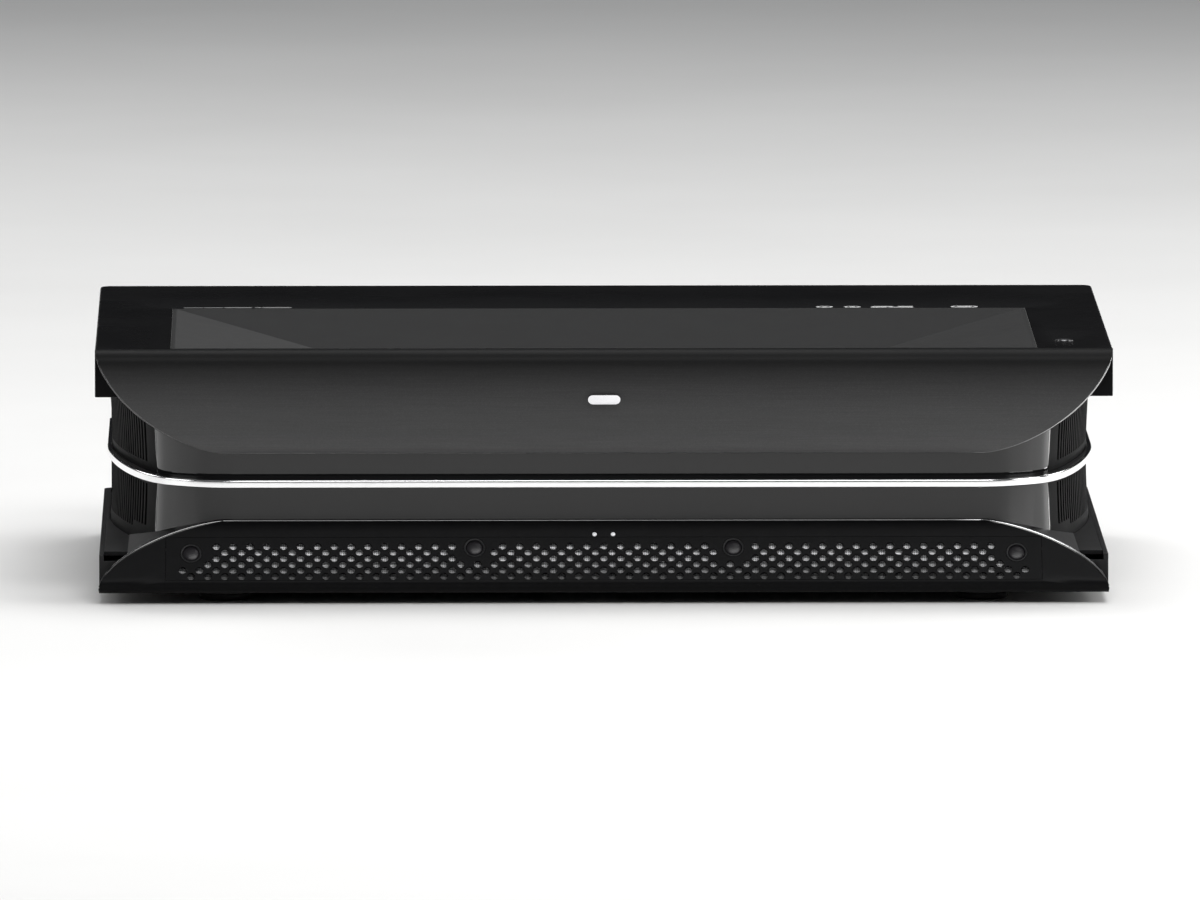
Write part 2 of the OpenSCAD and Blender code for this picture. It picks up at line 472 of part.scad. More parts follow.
// ---------- optics ----------
LZ = 50;                     // height of the lens axis
module ycyl(y0, y1, r, fn = 96) translate([0, y0, 0]) rotate([-90, 0, 0]) cylinder(h = y1 - y0, r = r, $fn = fn);
module at_lens() translate([0, 0, LZ]) children();
module optical_sled() color(ALU) difference() {
  translate([-98, -136, 14]) cube([196, 240, 4]);
  for (x = [-86, 86], y = [-124, 92]) translate([x, y, 10]) cylinder(h = 12, r = 4.1, $fn = 48);
  for (s = [-1, 1], y = [-80, -20, 40]) translate([s * 75 - 14, y, 10]) cube([28, 40, 12]);
  // channel under the focus ring and the barrel's flange
  translate([-13, -42, 16.6]) cube([26, 42.1, 4]);
}
module sled_dampers() color([0.1, 0.1, 0.1]) for (x = [-86, 86], y = [-124, 92]) translate([x, y, 9]) union() {
  cylinder(h = 4.9, r = 7, $fn = 48);
  cylinder(h = 9, r = 4, $fn = 48);
  translate([0, 0, 9.1]) cylinder(h = 2, r = 7, $fn = 48);
  cylinder(h = 10, r = 3.9, $fn = 48);
}
MY = -122; MZ = 61; MT = 12;
module concave_mirror() color([0.9, 0.92, 0.94]) translate([0, MY, MZ]) rotate([MT, 0, 0]) difference() {
  translate([-62, -7, -35]) cube([124, 14, 70]);
  translate([0, 256.2, 0]) sphere(r = 260, $fn = 128);
}
module mirror_bracket() color(ALU) union() {
  for (s = [-1, 1]) difference() {
    translate([s * 66.55 - 4.45, -136, 18]) cube([8.9, 34, 84]);
    translate([s * 66.55 - 5, MY, MZ]) rotate([MT, 0, 0]) translate([0, 8, 0]) cube([10, 60, 90], center = false);
  }
  translate([-71, -136, 18]) cube([142, 12, 5]);
}
module lens_barrel() color([0.1, 0.1, 0.11]) at_lens() difference() {
  union() {
    ycyl(-84, 18, 27);
    ycyl(-84, -70, 30);
    ycyl(-44.5, -41, 28.6);
    ycyl(-29, -26, 28.6);
    ycyl(-4, -0.1, 33);
  }
  ycyl(-86, -66, 25.5);
  ycyl(-70, 30, 22);
}
module lens_elements() color([0.5, 0.55, 0.6, 0.5]) at_lens() {
  intersection() { ycyl(-78, -66.2, 25.4); translate([0, -44, 0]) sphere(r = 33, $fn = 96); }
  ycyl(-20, -12, 21.9);
  ycyl(6, 14, 21.9);
}
module lens_mount() color(ALU) difference() {
  translate([-50, 0, 18.1]) cube([100, 9, 66 - 0.2]);
  at_lens() ycyl(-1, 12, 27.05);
  for (x = [-42, 42]) translate([x, -1, 30]) cube([6, 12, 20], center = false);
}
// involute gears for the focus drive
GM = 0.8; NR = 80; NP = 18; PA = 20; PHI = 35;
function inv(a) = tan(a) * 180 / PI - a;
function ipt(rb, r) = let (a = acos(min(1, rb / r))) inv(a);
// one tooth's outline in degrees and radius; b thins it for backlash
function tooth(n, b) = let (rp = GM * n / 2, rb = rp * cos(PA), ra = rp + GM, rf = max(rp - 1.25 * GM, 0), half = 90 / n + inv(PA) - b,
  rs = [for (k = [0:5]) max(rb, rf) + (ra - max(rb, rf)) * k / 5])
  concat([[-180 / n, rf], [-(half) - 0.02, rf]], [for (r = rs) [-(half - ipt(rb, r)), r]], [for (r = rev(rs)) [half - ipt(rb, r), r]], [[half + 0.02, rf]]);
module gear2d(n, b, rot) polygon(flat([for (i = [0:n - 1]) [for (q = tooth(n, b)) let (a = rot + i * 360 / n + q[0]) [q[1] * cos(a), q[1] * sin(a)]]]));
CD = GM * (NR + NP) / 2 + 0.05;
module along_y(y0, h) translate([0, y0 + h, 0]) rotate([90, 0, 0]) linear_extrude(h) children();
module focus_ring() color([0.3, 0.3, 0.32]) at_lens() difference() {
  along_y(-40.6, 11.2) gear2d(NR, 0.12, PHI);
  ycyl(-50, -20, 27.05);
}
module at_pinion() translate([CD * cos(PHI), 0, LZ + CD * sin(PHI)]) children();
module focus_pinion() color([0.85, 0.83, 0.75]) at_pinion() union() {
  along_y(-40, 10) gear2d(NP, 0.5, PHI + 180 + 180 / NP);
  ycyl(-31, -24, 1.5, 32);
}
module focus_motor() color([0.75, 0.76, 0.77]) at_pinion() difference() {
  union() {
    ycyl(-26, -5, 9.6, 64);
    translate([4, -6, -5]) cube([10, 5.9, 12]);
  }
  ycyl(-27, -18, 1.55, 32);
}
module engine_housing() color(ALU) difference() {
  union() {
    translate([-52, 20, 18.1]) cube([104, 78, 63.9]);
    for (x = [-40, 40]) translate([x, 35, 81]) cylinder(h = 2.9, r = 3.5, $fn = 32);
  }
  translate([-49, 23, 21.1]) cube([98, 72, 57.9]);
  at_lens() ycyl(10, 30, 19);
  translate([-60, 50, LZ - 7]) cube([20, 14, 14]);
  translate([-15, 90, LZ - 10]) cube([30, 20, 20]);
}
WHX = -58.5; WHY = 74; WHZ = 60;
module xcyl(x0, x1, r, fn = 64) translate([x0, 0, 0]) rotate([0, 90, 0]) cylinder(h = x1 - x0, r = r, $fn = fn);
module diffuser_wheel() color([0.7, 0.75, 0.8]) translate([0, WHY, WHZ]) difference() {
  union() { xcyl(WHX - 0.5, WHX + 0.5, 20, 96); xcyl(WHX - 1.5, WHX + 0.9, 6); }
  xcyl(WHX - 3, WHX + 3, 1.05, 32);
}
module diffuser_motor() color([0.5, 0.5, 0.52]) translate([0, WHY, WHZ]) union() {
  xcyl(-57.3, -52.05, 9);
  xcyl(WHX - 1.8, -57, 1, 32);
}
module laser_bank() color([0.55, 0.45, 0.3]) union() {
  difference() {
    translate([-108, 22, 18.1]) cube([44, 76, 63.9]);
    translate([-70, 50, LZ - 7]) cube([20, 14, 14]);
    translate([-86, 92, 17]) cylinder(h = 4.2, r = 7.7, $fn = 48);
  }
  for (j = [0:3], k = [0:2]) translate([0, 30 + j * 6, 30 + k * 5]) xcyl(-64.1, -62.6, 2, 24);
}
module laser_heatsink() color(ALU) translate([0, 0, 24]) linear_extrude(58) union() {
  translate([-114, 0]) square([5.9, 110]);
  for (i = [0:26]) translate([-200, i * 4.2]) square([87, 0.8]);
}
module dmd_board() color(PCB) union() {
  translate([-40, 98.1, 22]) cube([80, 1.6, 58]);
  translate([-11, 95, LZ - 8]) cube([22, 3.2, 16]);
  for (i = [0:8]) translate([-24 + i * 5.6, 99.6, 28]) cube([1.6, 17, 44]);
  translate([-26, 99.6, 28]) cube([52, 3, 44]);
}

// ---------- electronics, sound and air ----------
module mainboard() color(PCB) difference() {
  union() {
    translate([-110, 26, 84]) cube([222, 123, 1.6]);
    translate([-30, 50, 85.5]) cube([34, 34, 2]);
    for (i = [0:9]) translate([-30 + i * 3.6, 50, 87.4]) cube([1.2, 34, 10]);
    translate([30, 50, 85.5]) cube([14, 10, 1.2]);
    translate([30, 66, 85.5]) cube([14, 10, 1.2]);
    translate([-70, 50, 85.5]) cube([16, 16, 1.4]);
    translate([-90, 90, 85.5]) cube([24, 18, 3]);
    translate([70, 90, 85.5]) cube([26, 8, 7]);
    for (q = [[60, 60], [80, 60], [100, 60]]) translate([q[0], q[1], 85.5]) cylinder(h = 9, r = 4, $fn = 32);
  }
  for (q = [[-104, 143], [106, 143]]) translate([q[0], q[1], 80]) cylinder(h = 10, r = 1.6, $fn = 32);
}
module psu_board() color(PCB) difference() {
  union() {
    translate([118, -54, 20.1]) cube([87, 188, 1.6]);
    translate([130, -30, 21.6]) cube([42, 36, 32]);
    for (q = [[186, -24], [186, -2], [140, 24], [160, 24]]) translate([q[0], q[1], 21.6]) cylinder(h = 34, r = 9, $fn = 48);
    translate([126, 44, 21.6]) cube([5, 60, 38]);
    translate([150, 46, 21.6]) cube([28, 30, 26]);
    translate([188, 40, 21.6]) cube([4, 66, 38]);
    translate([150, 92, 21.6]) cube([30, 22, 20]);
  }
  for (q = [[124, -48], [199, -48], [124, 128], [199, 128]]) translate([q[0], q[1], 15]) cylinder(h = 10, r = 1.6, $fn = 32);
  translate([FX, FY, 15]) cylinder(h = 10, r = 8.8, $fn = 64);
}
SPK = [[118, -136], [206, -136], [222, -124], [230, -108], [233, -92], [233, -66], [118, -66]];
module speakers() color([0.13, 0.13, 0.14]) for (m = [0, 1]) mirror([m, 0, 0]) difference() {
  union() {
    translate([0, 0, 26]) linear_extrude(64) polygon(SPK);
    translate([162, 0, 54]) ycyl(-138.6, -135, 26);
  }
  translate([0, 0, 29]) linear_extrude(58) offset(delta = -3) polygon(SPK);
  translate([162, 0, 54]) ycyl(-141, -134, 22);
  translate([162, 0, 54]) ycyl(-137, -120, 20);
}
module at_fan(s, y) translate([s * 225.5, y, 60]) rotate([0, 90, 0]) children();
FANS = [[-1, -18], [-1, 72], [1, 50]];
module fan_frames() color(DARK) for (f = FANS) at_fan(f[0], f[1]) union() {
  difference() {
    translate([0, 0, 0]) cube([fan_size, fan_size, 25], center = true);
    translate([0, 0, -20]) cylinder(h = 40, r = fan_size / 2 - 2, $fn = 96);
    for (a = [-1, 1], b = [-1, 1]) translate([a * 35.75, b * 35.75, -20]) cylinder(h = 40, r = 2.1, $fn = 24);
  }
  translate([0, 0, -12.5]) difference() { cylinder(h = 3, r = 18, $fn = 64); translate([0, 0, 0.6]) cylinder(h = 10, r = 1.55, $fn = 32); }
  difference() {
    for (a = [20:90:290]) rotate([0, 0, a]) translate([17, -2, -12.5]) cube([fan_size / 2 - 17.6, 4, 2.5]);
    for (a = [-1, 1], b = [-1, 1]) translate([a * 35.75, b * 35.75, -20]) cylinder(h = 40, r = 2.1, $fn = 24);
  }
}
module fan_rotor(f) color([0.1, 0.1, 0.11]) at_fan(f[0], f[1]) union() {
  translate([0, 0, -8.8]) cylinder(h = 20, r = 17, $fn = 64);
  translate([0, 0, -11.5]) cylinder(h = 4, r = 1.5, $fn = 32);
  intersection() {
    translate([0, 0, -9]) difference() { cylinder(h = 20.6, r = 36.8, $fn = 96); translate([0, 0, -1]) cylinder(h = 24, r = 16, $fn = 64); }
    for (i = [0:fan_blades - 1]) rotate([0, 0, i * 360 / fan_blades]) translate([0, 0, 1.3]) rotate([52, 0, 0]) translate([16, -13, -0.8]) cube([24, 26, 1.6]);
  }
}

top_deck();
well_liner();
window_glass();
fascia_visor();
fascia_badge();
waist_panel();
trim_shelf();
waist_trim();
lower_visor();
front_grille();
grille_mesh();
sensor_lenses();
status_lights();
corner_ledges();
side_panel_left();
side_panel_right();
rear_panel();
io_plate();
hdmi_ports();
usb_ports();
lan_port();
audio_ports();
ac_inlet();
inlet_pins();
base_shell();
case_screws();
foot_inserts();
foot_pad(-1, -1);  // foot_pad_front_left
foot_pad(1, -1);  // foot_pad_front_right
foot_pad(-1, 1);  // foot_pad_rear_left
foot_pad(1, 1);  // foot_pad_rear_right
foot_screw(-1, -1);  // foot_screw_front_left
foot_screw(1, -1);  // foot_screw_front_right
foot_screw(-1, 1);  // foot_screw_rear_left
foot_screw(1, 1);  // foot_screw_rear_right
power_button();
button_board();
optical_sled();
sled_dampers();
mirror_bracket();
concave_mirror();
lens_barrel();
lens_elements();
lens_mount();
focus_ring();
focus_motor();
focus_pinion();
engine_housing();
diffuser_wheel();
diffuser_motor();
laser_bank();
laser_heatsink();
dmd_board();
mainboard();
psu_board();
speakers();
fan_frames();
fan_rotor(FANS[0]);  // fan_rotor_left_front
fan_rotor(FANS[1]);  // fan_rotor_left_rear
fan_rotor(FANS[2]);  // fan_rotor_right
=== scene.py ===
import json
import math

import bmesh
import bpy
import numpy as np
from mathutils import Matrix, Vector


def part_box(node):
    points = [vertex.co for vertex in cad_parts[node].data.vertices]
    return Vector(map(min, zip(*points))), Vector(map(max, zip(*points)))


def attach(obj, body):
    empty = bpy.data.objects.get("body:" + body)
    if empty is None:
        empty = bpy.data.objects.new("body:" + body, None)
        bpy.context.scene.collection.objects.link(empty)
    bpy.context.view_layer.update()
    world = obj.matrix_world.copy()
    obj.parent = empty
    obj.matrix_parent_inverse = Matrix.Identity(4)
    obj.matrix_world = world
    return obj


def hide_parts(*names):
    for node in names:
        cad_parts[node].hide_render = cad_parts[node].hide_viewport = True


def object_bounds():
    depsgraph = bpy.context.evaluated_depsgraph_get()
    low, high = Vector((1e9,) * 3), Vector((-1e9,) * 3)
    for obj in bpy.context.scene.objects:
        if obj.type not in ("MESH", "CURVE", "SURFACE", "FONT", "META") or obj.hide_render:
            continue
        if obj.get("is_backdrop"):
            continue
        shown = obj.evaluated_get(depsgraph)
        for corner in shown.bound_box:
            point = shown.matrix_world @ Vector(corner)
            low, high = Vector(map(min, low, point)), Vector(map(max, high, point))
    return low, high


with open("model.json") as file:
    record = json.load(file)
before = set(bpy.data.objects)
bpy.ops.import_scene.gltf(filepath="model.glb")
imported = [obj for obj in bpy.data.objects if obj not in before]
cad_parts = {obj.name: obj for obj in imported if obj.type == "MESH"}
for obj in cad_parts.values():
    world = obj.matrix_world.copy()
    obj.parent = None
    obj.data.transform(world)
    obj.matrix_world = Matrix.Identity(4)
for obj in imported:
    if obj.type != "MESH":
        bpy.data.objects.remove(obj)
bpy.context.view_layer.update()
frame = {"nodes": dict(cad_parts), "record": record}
NODES = frame["nodes"]
MM = 0.001


def mm(v):
    return tuple(float(x) * 1000 for x in v)


def box_mm(node):
    lo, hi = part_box(node)
    return mm(lo), mm(hi)


# ---------------------------------------------------------------- numbers taken from the frame
(_, _, _), (W, _, _) = box_mm("top_deck")
(_, DECK_F, SZ), (_, DECK_R, H) = box_mm("top_deck")
DECK_Z0 = 112.0
D = DECK_R
VIS_LO, VIS_HI = box_mm("fascia_visor")
VLOW = VIS_LO[2]
LOW_LO, LOW_HI = box_mm("lower_visor")
FOOT_GAP, LTOP = LOW_LO[2], LOW_HI[2]
TR_LO, TR_HI = box_mm("waist_trim")
WP_LO, WP_HI = box_mm("waist_panel")
LIN_LO, LIN_HI = box_mm("well_liner")
BT_LO, BT_HI = box_mm("power_button")
BTX, BTY = (BT_LO[0] + BT_HI[0]) / 2, (BT_LO[1] + BT_HI[1]) / 2

# ================================================================= materials


def new_mat(name):
    m = bpy.data.materials.new(name)
    m.use_nodes = True
    nt = m.node_tree
    return m, nt, nt.nodes["Principled BSDF"]


def put(nt, kind, **kw):
    n = nt.nodes.new(kind)
    for k, v in kw.items():
        if k.startswith("i_"):
            n.inputs[k[2:].replace("_", " ")].default_value = v
        else:
            setattr(n, k, v)
    return n


def noise(nt, co, scale, detail=4.0, rough=0.55, stretch=None):
    n = put(nt, "ShaderNodeTexNoise")
    n.inputs["Scale"].default_value = scale
    n.inputs["Detail"].default_value = detail
    n.inputs["Roughness"].default_value = rough
    if stretch:
        mp = put(nt, "ShaderNodeMapping")
        mp.inputs["Scale"].default_value = stretch
        nt.links.new(co, mp.inputs["Vector"])
        co = mp.outputs["Vector"]
    nt.links.new(co, n.inputs["Vector"])
    return n.outputs["Fac"]


def remap(nt, fac, a, b, c=0.0, d=1.0):
    r = put(nt, "ShaderNodeMapRange")
    r.inputs["From Min"].default_value = a
    r.inputs["From Max"].default_value = b
    r.inputs["To Min"].default_value = c
    r.inputs["To Max"].default_value = d
    nt.links.new(fac, r.inputs["Value"])
    return r.outputs["Result"]


def mix_rgb(nt, fac, a, b):
    m = put(nt, "ShaderNodeMix", data_type="RGBA")
    for s, v in (("A", a), ("B", b)):
        sock = [i for i in m.inputs if i.name == s and i.type == "RGBA"][0]
        if isinstance(v, (tuple, list)):
            sock.default_value = (*v[:3], 1.0)
        else:
            nt.links.new(v, sock)
    f = [i for i in m.inputs if i.name == "Factor" and i.type == "VALUE"][0]
    if isinstance(fac, float):
        f.default_value = fac
    else:
        nt.links.new(fac, f)
    return [o for o in m.outputs if o.type == "RGBA"][0]


def mul(nt, a, b):
    m = put(nt, "ShaderNodeMath", operation="MULTIPLY")
    nt.links.new(a, m.inputs[0])
    if isinstance(b, float):
        m.inputs[1].default_value = b
    else:
        nt.links.new(b, m.inputs[1])
    return m.outputs[0]


def plastic(name, col, rough=0.45, grain=2600.0, bump=0.12, var=0.14, dust=0.0, metal=0.0, coat=0.0, coat_rough=0.08, spec=0.5, flake=0.0, smear=0.06):
    m, nt, b = new_mat(name)
    co = put(nt, "ShaderNodeTexCoord").outputs["Object"]
    big = noise(nt, co, 14.0, 3.0)
    mid = noise(nt, co, 160.0, 5.0)
    fine = noise(nt, co, grain, 3.0, 0.6)
    lo = tuple(max(c * (1 - var), 0.0) for c in col)
    hi = tuple(min(c * (1 + var), 1.0) for c in col)
    c = mix_rgb(nt, remap(nt, mid, 0.3, 0.7), lo, hi)
    if flake:
        v = put(nt, "ShaderNodeTexVoronoi")
        v.inputs["Scale"].default_value = 3800.0
        nt.links.new(co, v.inputs["Vector"])
        hsv = put(nt, "ShaderNodeSeparateColor")
        nt.links.new(v.outputs["Color"], hsv.inputs["Color"])
        c = mix_rgb(nt, remap(nt, hsv.outputs[0], 0.55, 1.0, 0.0, flake), c, tuple(min(x * 2.2 + 0.04, 1) for x in col))
    if dust:
        geo = put(nt, "ShaderNodeNewGeometry")
        sep = put(nt, "ShaderNodeSeparateXYZ")
        nt.links.new(geo.outputs["Normal"], sep.inputs[0])
        up = remap(nt, sep.outputs["Z"], 0.55, 1.0)
        specks = remap(nt, noise(nt, co, 900.0, 6.0, 0.75), 0.52, 0.78, 0.25, 1.0)
        f = mul(nt, mul(nt, up, specks), mul(nt, remap(nt, big, 0.3, 0.75, 0.35, 1.0), float(dust)))
        c = mix_rgb(nt, f, c, (0.42, 0.41, 0.39))
    nt.links.new(c, b.inputs["Base Color"])
    nt.links.new(remap(nt, big, 0.25, 0.75, rough - smear, rough + smear), b.inputs["Roughness"])
    b.inputs["Metallic"].default_value = metal
    b.inputs["Specular IOR Level"].default_value = spec
    if coat:
        b.inputs["Coat Weight"].default_value = coat
        b.inputs["Coat Roughness"].default_value = coat_rough
    bp = put(nt, "ShaderNodeBump")
    bp.inputs["Strength"].default_value = bump
    bp.inputs["Distance"].default_value = 0.0002
    nt.links.new(fine, bp.inputs["Height"])
    nt.links.new(bp.outputs["Normal"], b.inputs["Normal"])
    return m


def metal(name, col, rough=0.22, brush=None, bump=0.05, var=0.06, grain=900.0, anis=0.0):
    m, nt, b = new_mat(name)
    co = put(nt, "ShaderNodeTexCoord").outputs["Object"]
    big = noise(nt, co, 22.0, 4.0)
    fine = noise(nt, co, grain, 4.0, 0.6, brush)
    c = mix_rgb(nt, remap(nt, fine, 0.3, 0.7), tuple(x * (1 - var) for x in col), tuple(min(x * (1 + var), 1) for x in col))
    nt.links.new(c, b.inputs["Base Color"])
    b.inputs["Metallic"].default_value = 1.0
    r = remap(nt, mul(nt, big, fine), 0.1, 0.4, max(rough - 0.05, 0.02), rough + 0.08)
    nt.links.new(r, b.inputs["Roughness"])
    bp = put(nt, "ShaderNodeBump")
    bp.inputs["Strength"].default_value = bump
    bp.inputs["Distance"].default_value = 0.0001
    nt.links.new(fine, bp.inputs["Height"])
    nt.links.new(bp.outputs["Normal"], b.inputs["Normal"])
    return m


def glass(name, tint, rough=0.03, alpha_dark=0.0, ior=1.5, trans=1.0):
    m, nt, b = new_mat(name)
    co = put(nt, "ShaderNodeTexCoord").outputs["Object"]
    smudge = noise(nt, co, 45.0, 5.0, 0.6)
    nt.links.new(mix_rgb(nt, remap(nt, smudge, 0.3, 0.7), tint, tuple(min(1, x * 1.12) for x in tint)), b.inputs["Base Color"])
    nt.links.new(remap(nt, smudge, 0.35, 0.8, rough, rough + 0.07), b.inputs["Roughness"])
    b.inputs["Transmission Weight"].default_value = trans
    b.inputs["IOR"].default_value = ior
    b.inputs["Coat Weight"].default_value = 0.4
    b.inputs["Coat Roughness"].default_value = 0.02
    b.inputs["Coat Tint"].default_value = (0.72, 0.6, 0.95, 1)
    return m


def mesh_mat(name, z_lo, z_hi):
    """Woven steel cloth behind the grille, with painted light: its colour is dark low down and bright near the top, as
    if lit from above.
    """
    m, nt, b = new_mat(name)
    co = put(nt, "ShaderNodeTexCoord").outputs["Object"]
    sep = put(nt, "ShaderNodeSeparateXYZ")
    nt.links.new(co, sep.inputs[0])
    # painted light: the cloth's colour brightens with height
    painted_light_fade = remap(nt, sep.outputs["Z"], z_lo, z_hi)
    w1 = put(nt, "ShaderNodeTexWave", wave_type="BANDS", bands_direction="X")
    w1.inputs["Scale"].default_value = 300.0
    w2 = put(nt, "ShaderNodeTexWave", wave_type="BANDS", bands_direction="Z")
    w2.inputs["Scale"].default_value = 380.0
    nt.links.new(co, w1.inputs["Vector"])
    nt.links.new(co, w2.inputs["Vector"])
    weave = put(nt, "ShaderNodeMath", operation="MAXIMUM")
    nt.links.new(w1.outputs["Fac"], weave.inputs[0])
    nt.links.new(w2.outputs["Fac"], weave.inputs[1])
    bright = mix_rgb(nt, painted_light_fade, (0.10, 0.10, 0.10), (0.97, 0.97, 0.98))
    nt.links.new(mix_rgb(nt, remap(nt, weave.outputs[0], 0.2, 0.9), (0.08, 0.08, 0.08), bright), b.inputs["Base Color"])
    b.inputs["Metallic"].default_value = 0.2
    nt.links.new(remap(nt, noise(nt, co, 600.0), 0.3, 0.7, 0.36, 0.5), b.inputs["Roughness"])
    bp = put(nt, "ShaderNodeBump")
    bp.inputs["Strength"].default_value = 0.5
    bp.inputs["Distance"].default_value = 0.0002
    nt.links.new(weave.outputs[0], bp.inputs["Height"])
    nt.links.new(bp.outputs["Normal"], b.inputs["Normal"])
    return m


def board(name, col):
    m, nt, b = new_mat(name)
    co = put(nt, "ShaderNodeTexCoord").outputs["Object"]
    v = put(nt, "ShaderNodeTexBrick")
    v.inputs["Scale"].default_value = 160.0
    v.inputs["Mortar Size"].default_value = 0.03
    v.inputs["Color1"].default_value = (*col, 1)
    v.inputs["Color2"].default_value = (*[c * 0.82 for c in col], 1)
    v.inputs["Mortar"].default_value = (*[min(1, c * 2.0 + 0.01) for c in col], 1)
    nt.links.new(co, v.inputs["Vector"])
    spots = remap(nt, noise(nt, co, 700.0, 2.0), 0.62, 0.66)
    nt.links.new(mix_rgb(nt, spots, v.outputs["Color"], (0.5, 0.45, 0.3)), b.inputs["Base Color"])
    nt.links.new(remap(nt, noise(nt, co, 90.0), 0.3, 0.7, 0.28, 0.42), b.inputs["Roughness"])
    bp = put(nt, "ShaderNodeBump")
    bp.inputs["Strength"].default_value = 0.25
    bp.inputs["Distance"].default_value = 0.0002
    nt.links.new(v.outputs["Fac"], bp.inputs["Height"])
    nt.links.new(bp.outputs["Normal"], b.inputs["Normal"])
    return m


def ink(name, col):
    m, nt, b = new_mat(name)
    co = put(nt, "ShaderNodeTexCoord").outputs["Object"]
    f = remap(nt, noise(nt, co, 1800.0, 5.0, 0.7), 0.35, 0.6)
    nt.links.new(mix_rgb(nt, f, tuple(c * 0.8 for c in col), col), b.inputs["Base Color"])
    nt.links.new(remap(nt, noise(nt, co, 300.0), 0.3, 0.7, 0.45, 0.6), b.inputs["Roughness"])
    return m


def painted_shade_graded(name, stops, rough, metallic, spec):
    """Satin metallic paint with painted shade and light: the base grey darkens towards the top and lightens low down,
    standing in for how light falls on the panel, with fine sideways brushing and flake. stops: (z in mm, grey).
    """
    m, nt, b = new_mat(name)
    co = put(nt, "ShaderNodeTexCoord").outputs["Object"]
    sep = put(nt, "ShaderNodeSeparateXYZ")
    nt.links.new(co, sep.inputs[0])
    z0, z1 = stops[0][0], stops[-1][0]
    # painted shade: the grey ramps with height, darkest at the top
    t = remap(nt, sep.outputs["Z"], z0 * MM, z1 * MM)
    ramp = put(nt, "ShaderNodeValToRGB")
    cr_ = ramp.color_ramp
    cr_.interpolation = "B_SPLINE"
    while len(cr_.elements) < len(stops):
        cr_.elements.new(0.5)
    for e, (z, g_) in zip(cr_.elements, stops):
        e.position = (z - z0) / (z1 - z0)
    for e, (z, g_) in zip(cr_.elements, stops):
        e.color = (g_, g_, g_ * 1.01, 1)
    nt.links.new(t, ramp.inputs["Fac"])
    brush = noise(nt, co, 260.0, 5.0, 0.65, (0.10, 6.0, 9.0))
    big = noise(nt, co, 9.0, 3.0)
    v = put(nt, "ShaderNodeTexVoronoi")
    v.inputs["Scale"].default_value = 3600.0
    nt.links.new(co, v.inputs["Vector"])
    sc = put(nt, "ShaderNodeSeparateColor")
    nt.links.new(v.outputs["Color"], sc.inputs["Color"])
    gain = put(nt, "ShaderNodeMath", operation="MULTIPLY_ADD")
    nt.links.new(mul(nt, remap(nt, brush, 0.3, 0.7, 0.90, 1.10), remap(nt, sc.outputs[0], 0.6, 1.0, 0.96, 1.22)), gain.inputs[0])
    gain.inputs[1].default_value = 1.0
    gain.inputs[2].default_value = 0.0
    vm = put(nt, "ShaderNodeVectorMath", operation="SCALE")
    nt.links.new(ramp.outputs["Color"], vm.inputs[0])
    nt.links.new(gain.outputs[0], vm.inputs["Scale"])
    nt.links.new(vm.outputs["Vector"], b.inputs["Base Color"])
    b.inputs["Metallic"].default_value = metallic
    b.inputs["Specular IOR Level"].default_value = spec
    nt.links.new(remap(nt, big, 0.25, 0.75, rough - 0.04, rough + 0.05), b.inputs["Roughness"])
    bp = put(nt, "ShaderNodeBump")
    bp.inputs["Strength"].default_value = 0.04
    bp.inputs["Distance"].default_value = 0.0001
    nt.links.new(brush, bp.inputs["Height"])
    nt.links.new(bp.outputs["Normal"], b.inputs["Normal"])
    return m


def painted_highlight_edge_mat(name, stops, rough):
    """Polished arris with a painted highlight: its grey is painted brighter towards the right end and at the swept
    ends, where the lamps catch it. stops: (x in mm, grey).
    """
    m, nt, b = new_mat(name)
    co = put(nt, "ShaderNodeTexCoord").outputs["Object"]
    sep = put(nt, "ShaderNodeSeparateXYZ")
    nt.links.new(co, sep.inputs[0])
    x0, x1 = stops[0][0], stops[-1][0]
    ramp = put(nt, "ShaderNodeValToRGB")
    cr_ = ramp.color_ramp
    while len(cr_.elements) < len(stops):
        cr_.elements.new(0.5)
    for e, (x, g_) in zip(cr_.elements, stops):
        e.position = (x - x0) / (x1 - x0)
    for e, (x, g_) in zip(cr_.elements, stops):
        e.color = (g_, g_, g_, 1)
    # painted highlight: the grey ramps along x
    nt.links.new(remap(nt, sep.outputs["X"], x0 * MM, x1 * MM), ramp.inputs["Fac"])
    wear = remap(nt, noise(nt, co, 500.0, 4.0), 0.4, 0.75, 0.0, 0.18)
    nt.links.new(mix_rgb(nt, wear, ramp.outputs["Color"], (0.03, 0.03, 0.03)), b.inputs["Base Color"])
    b.inputs["Metallic"].default_value = 1.0
    nt.links.new(remap(nt, noise(nt, co, 60.0), 0.3, 0.7, rough - 0.03, rough + 0.05), b.inputs["Roughness"])
    return m


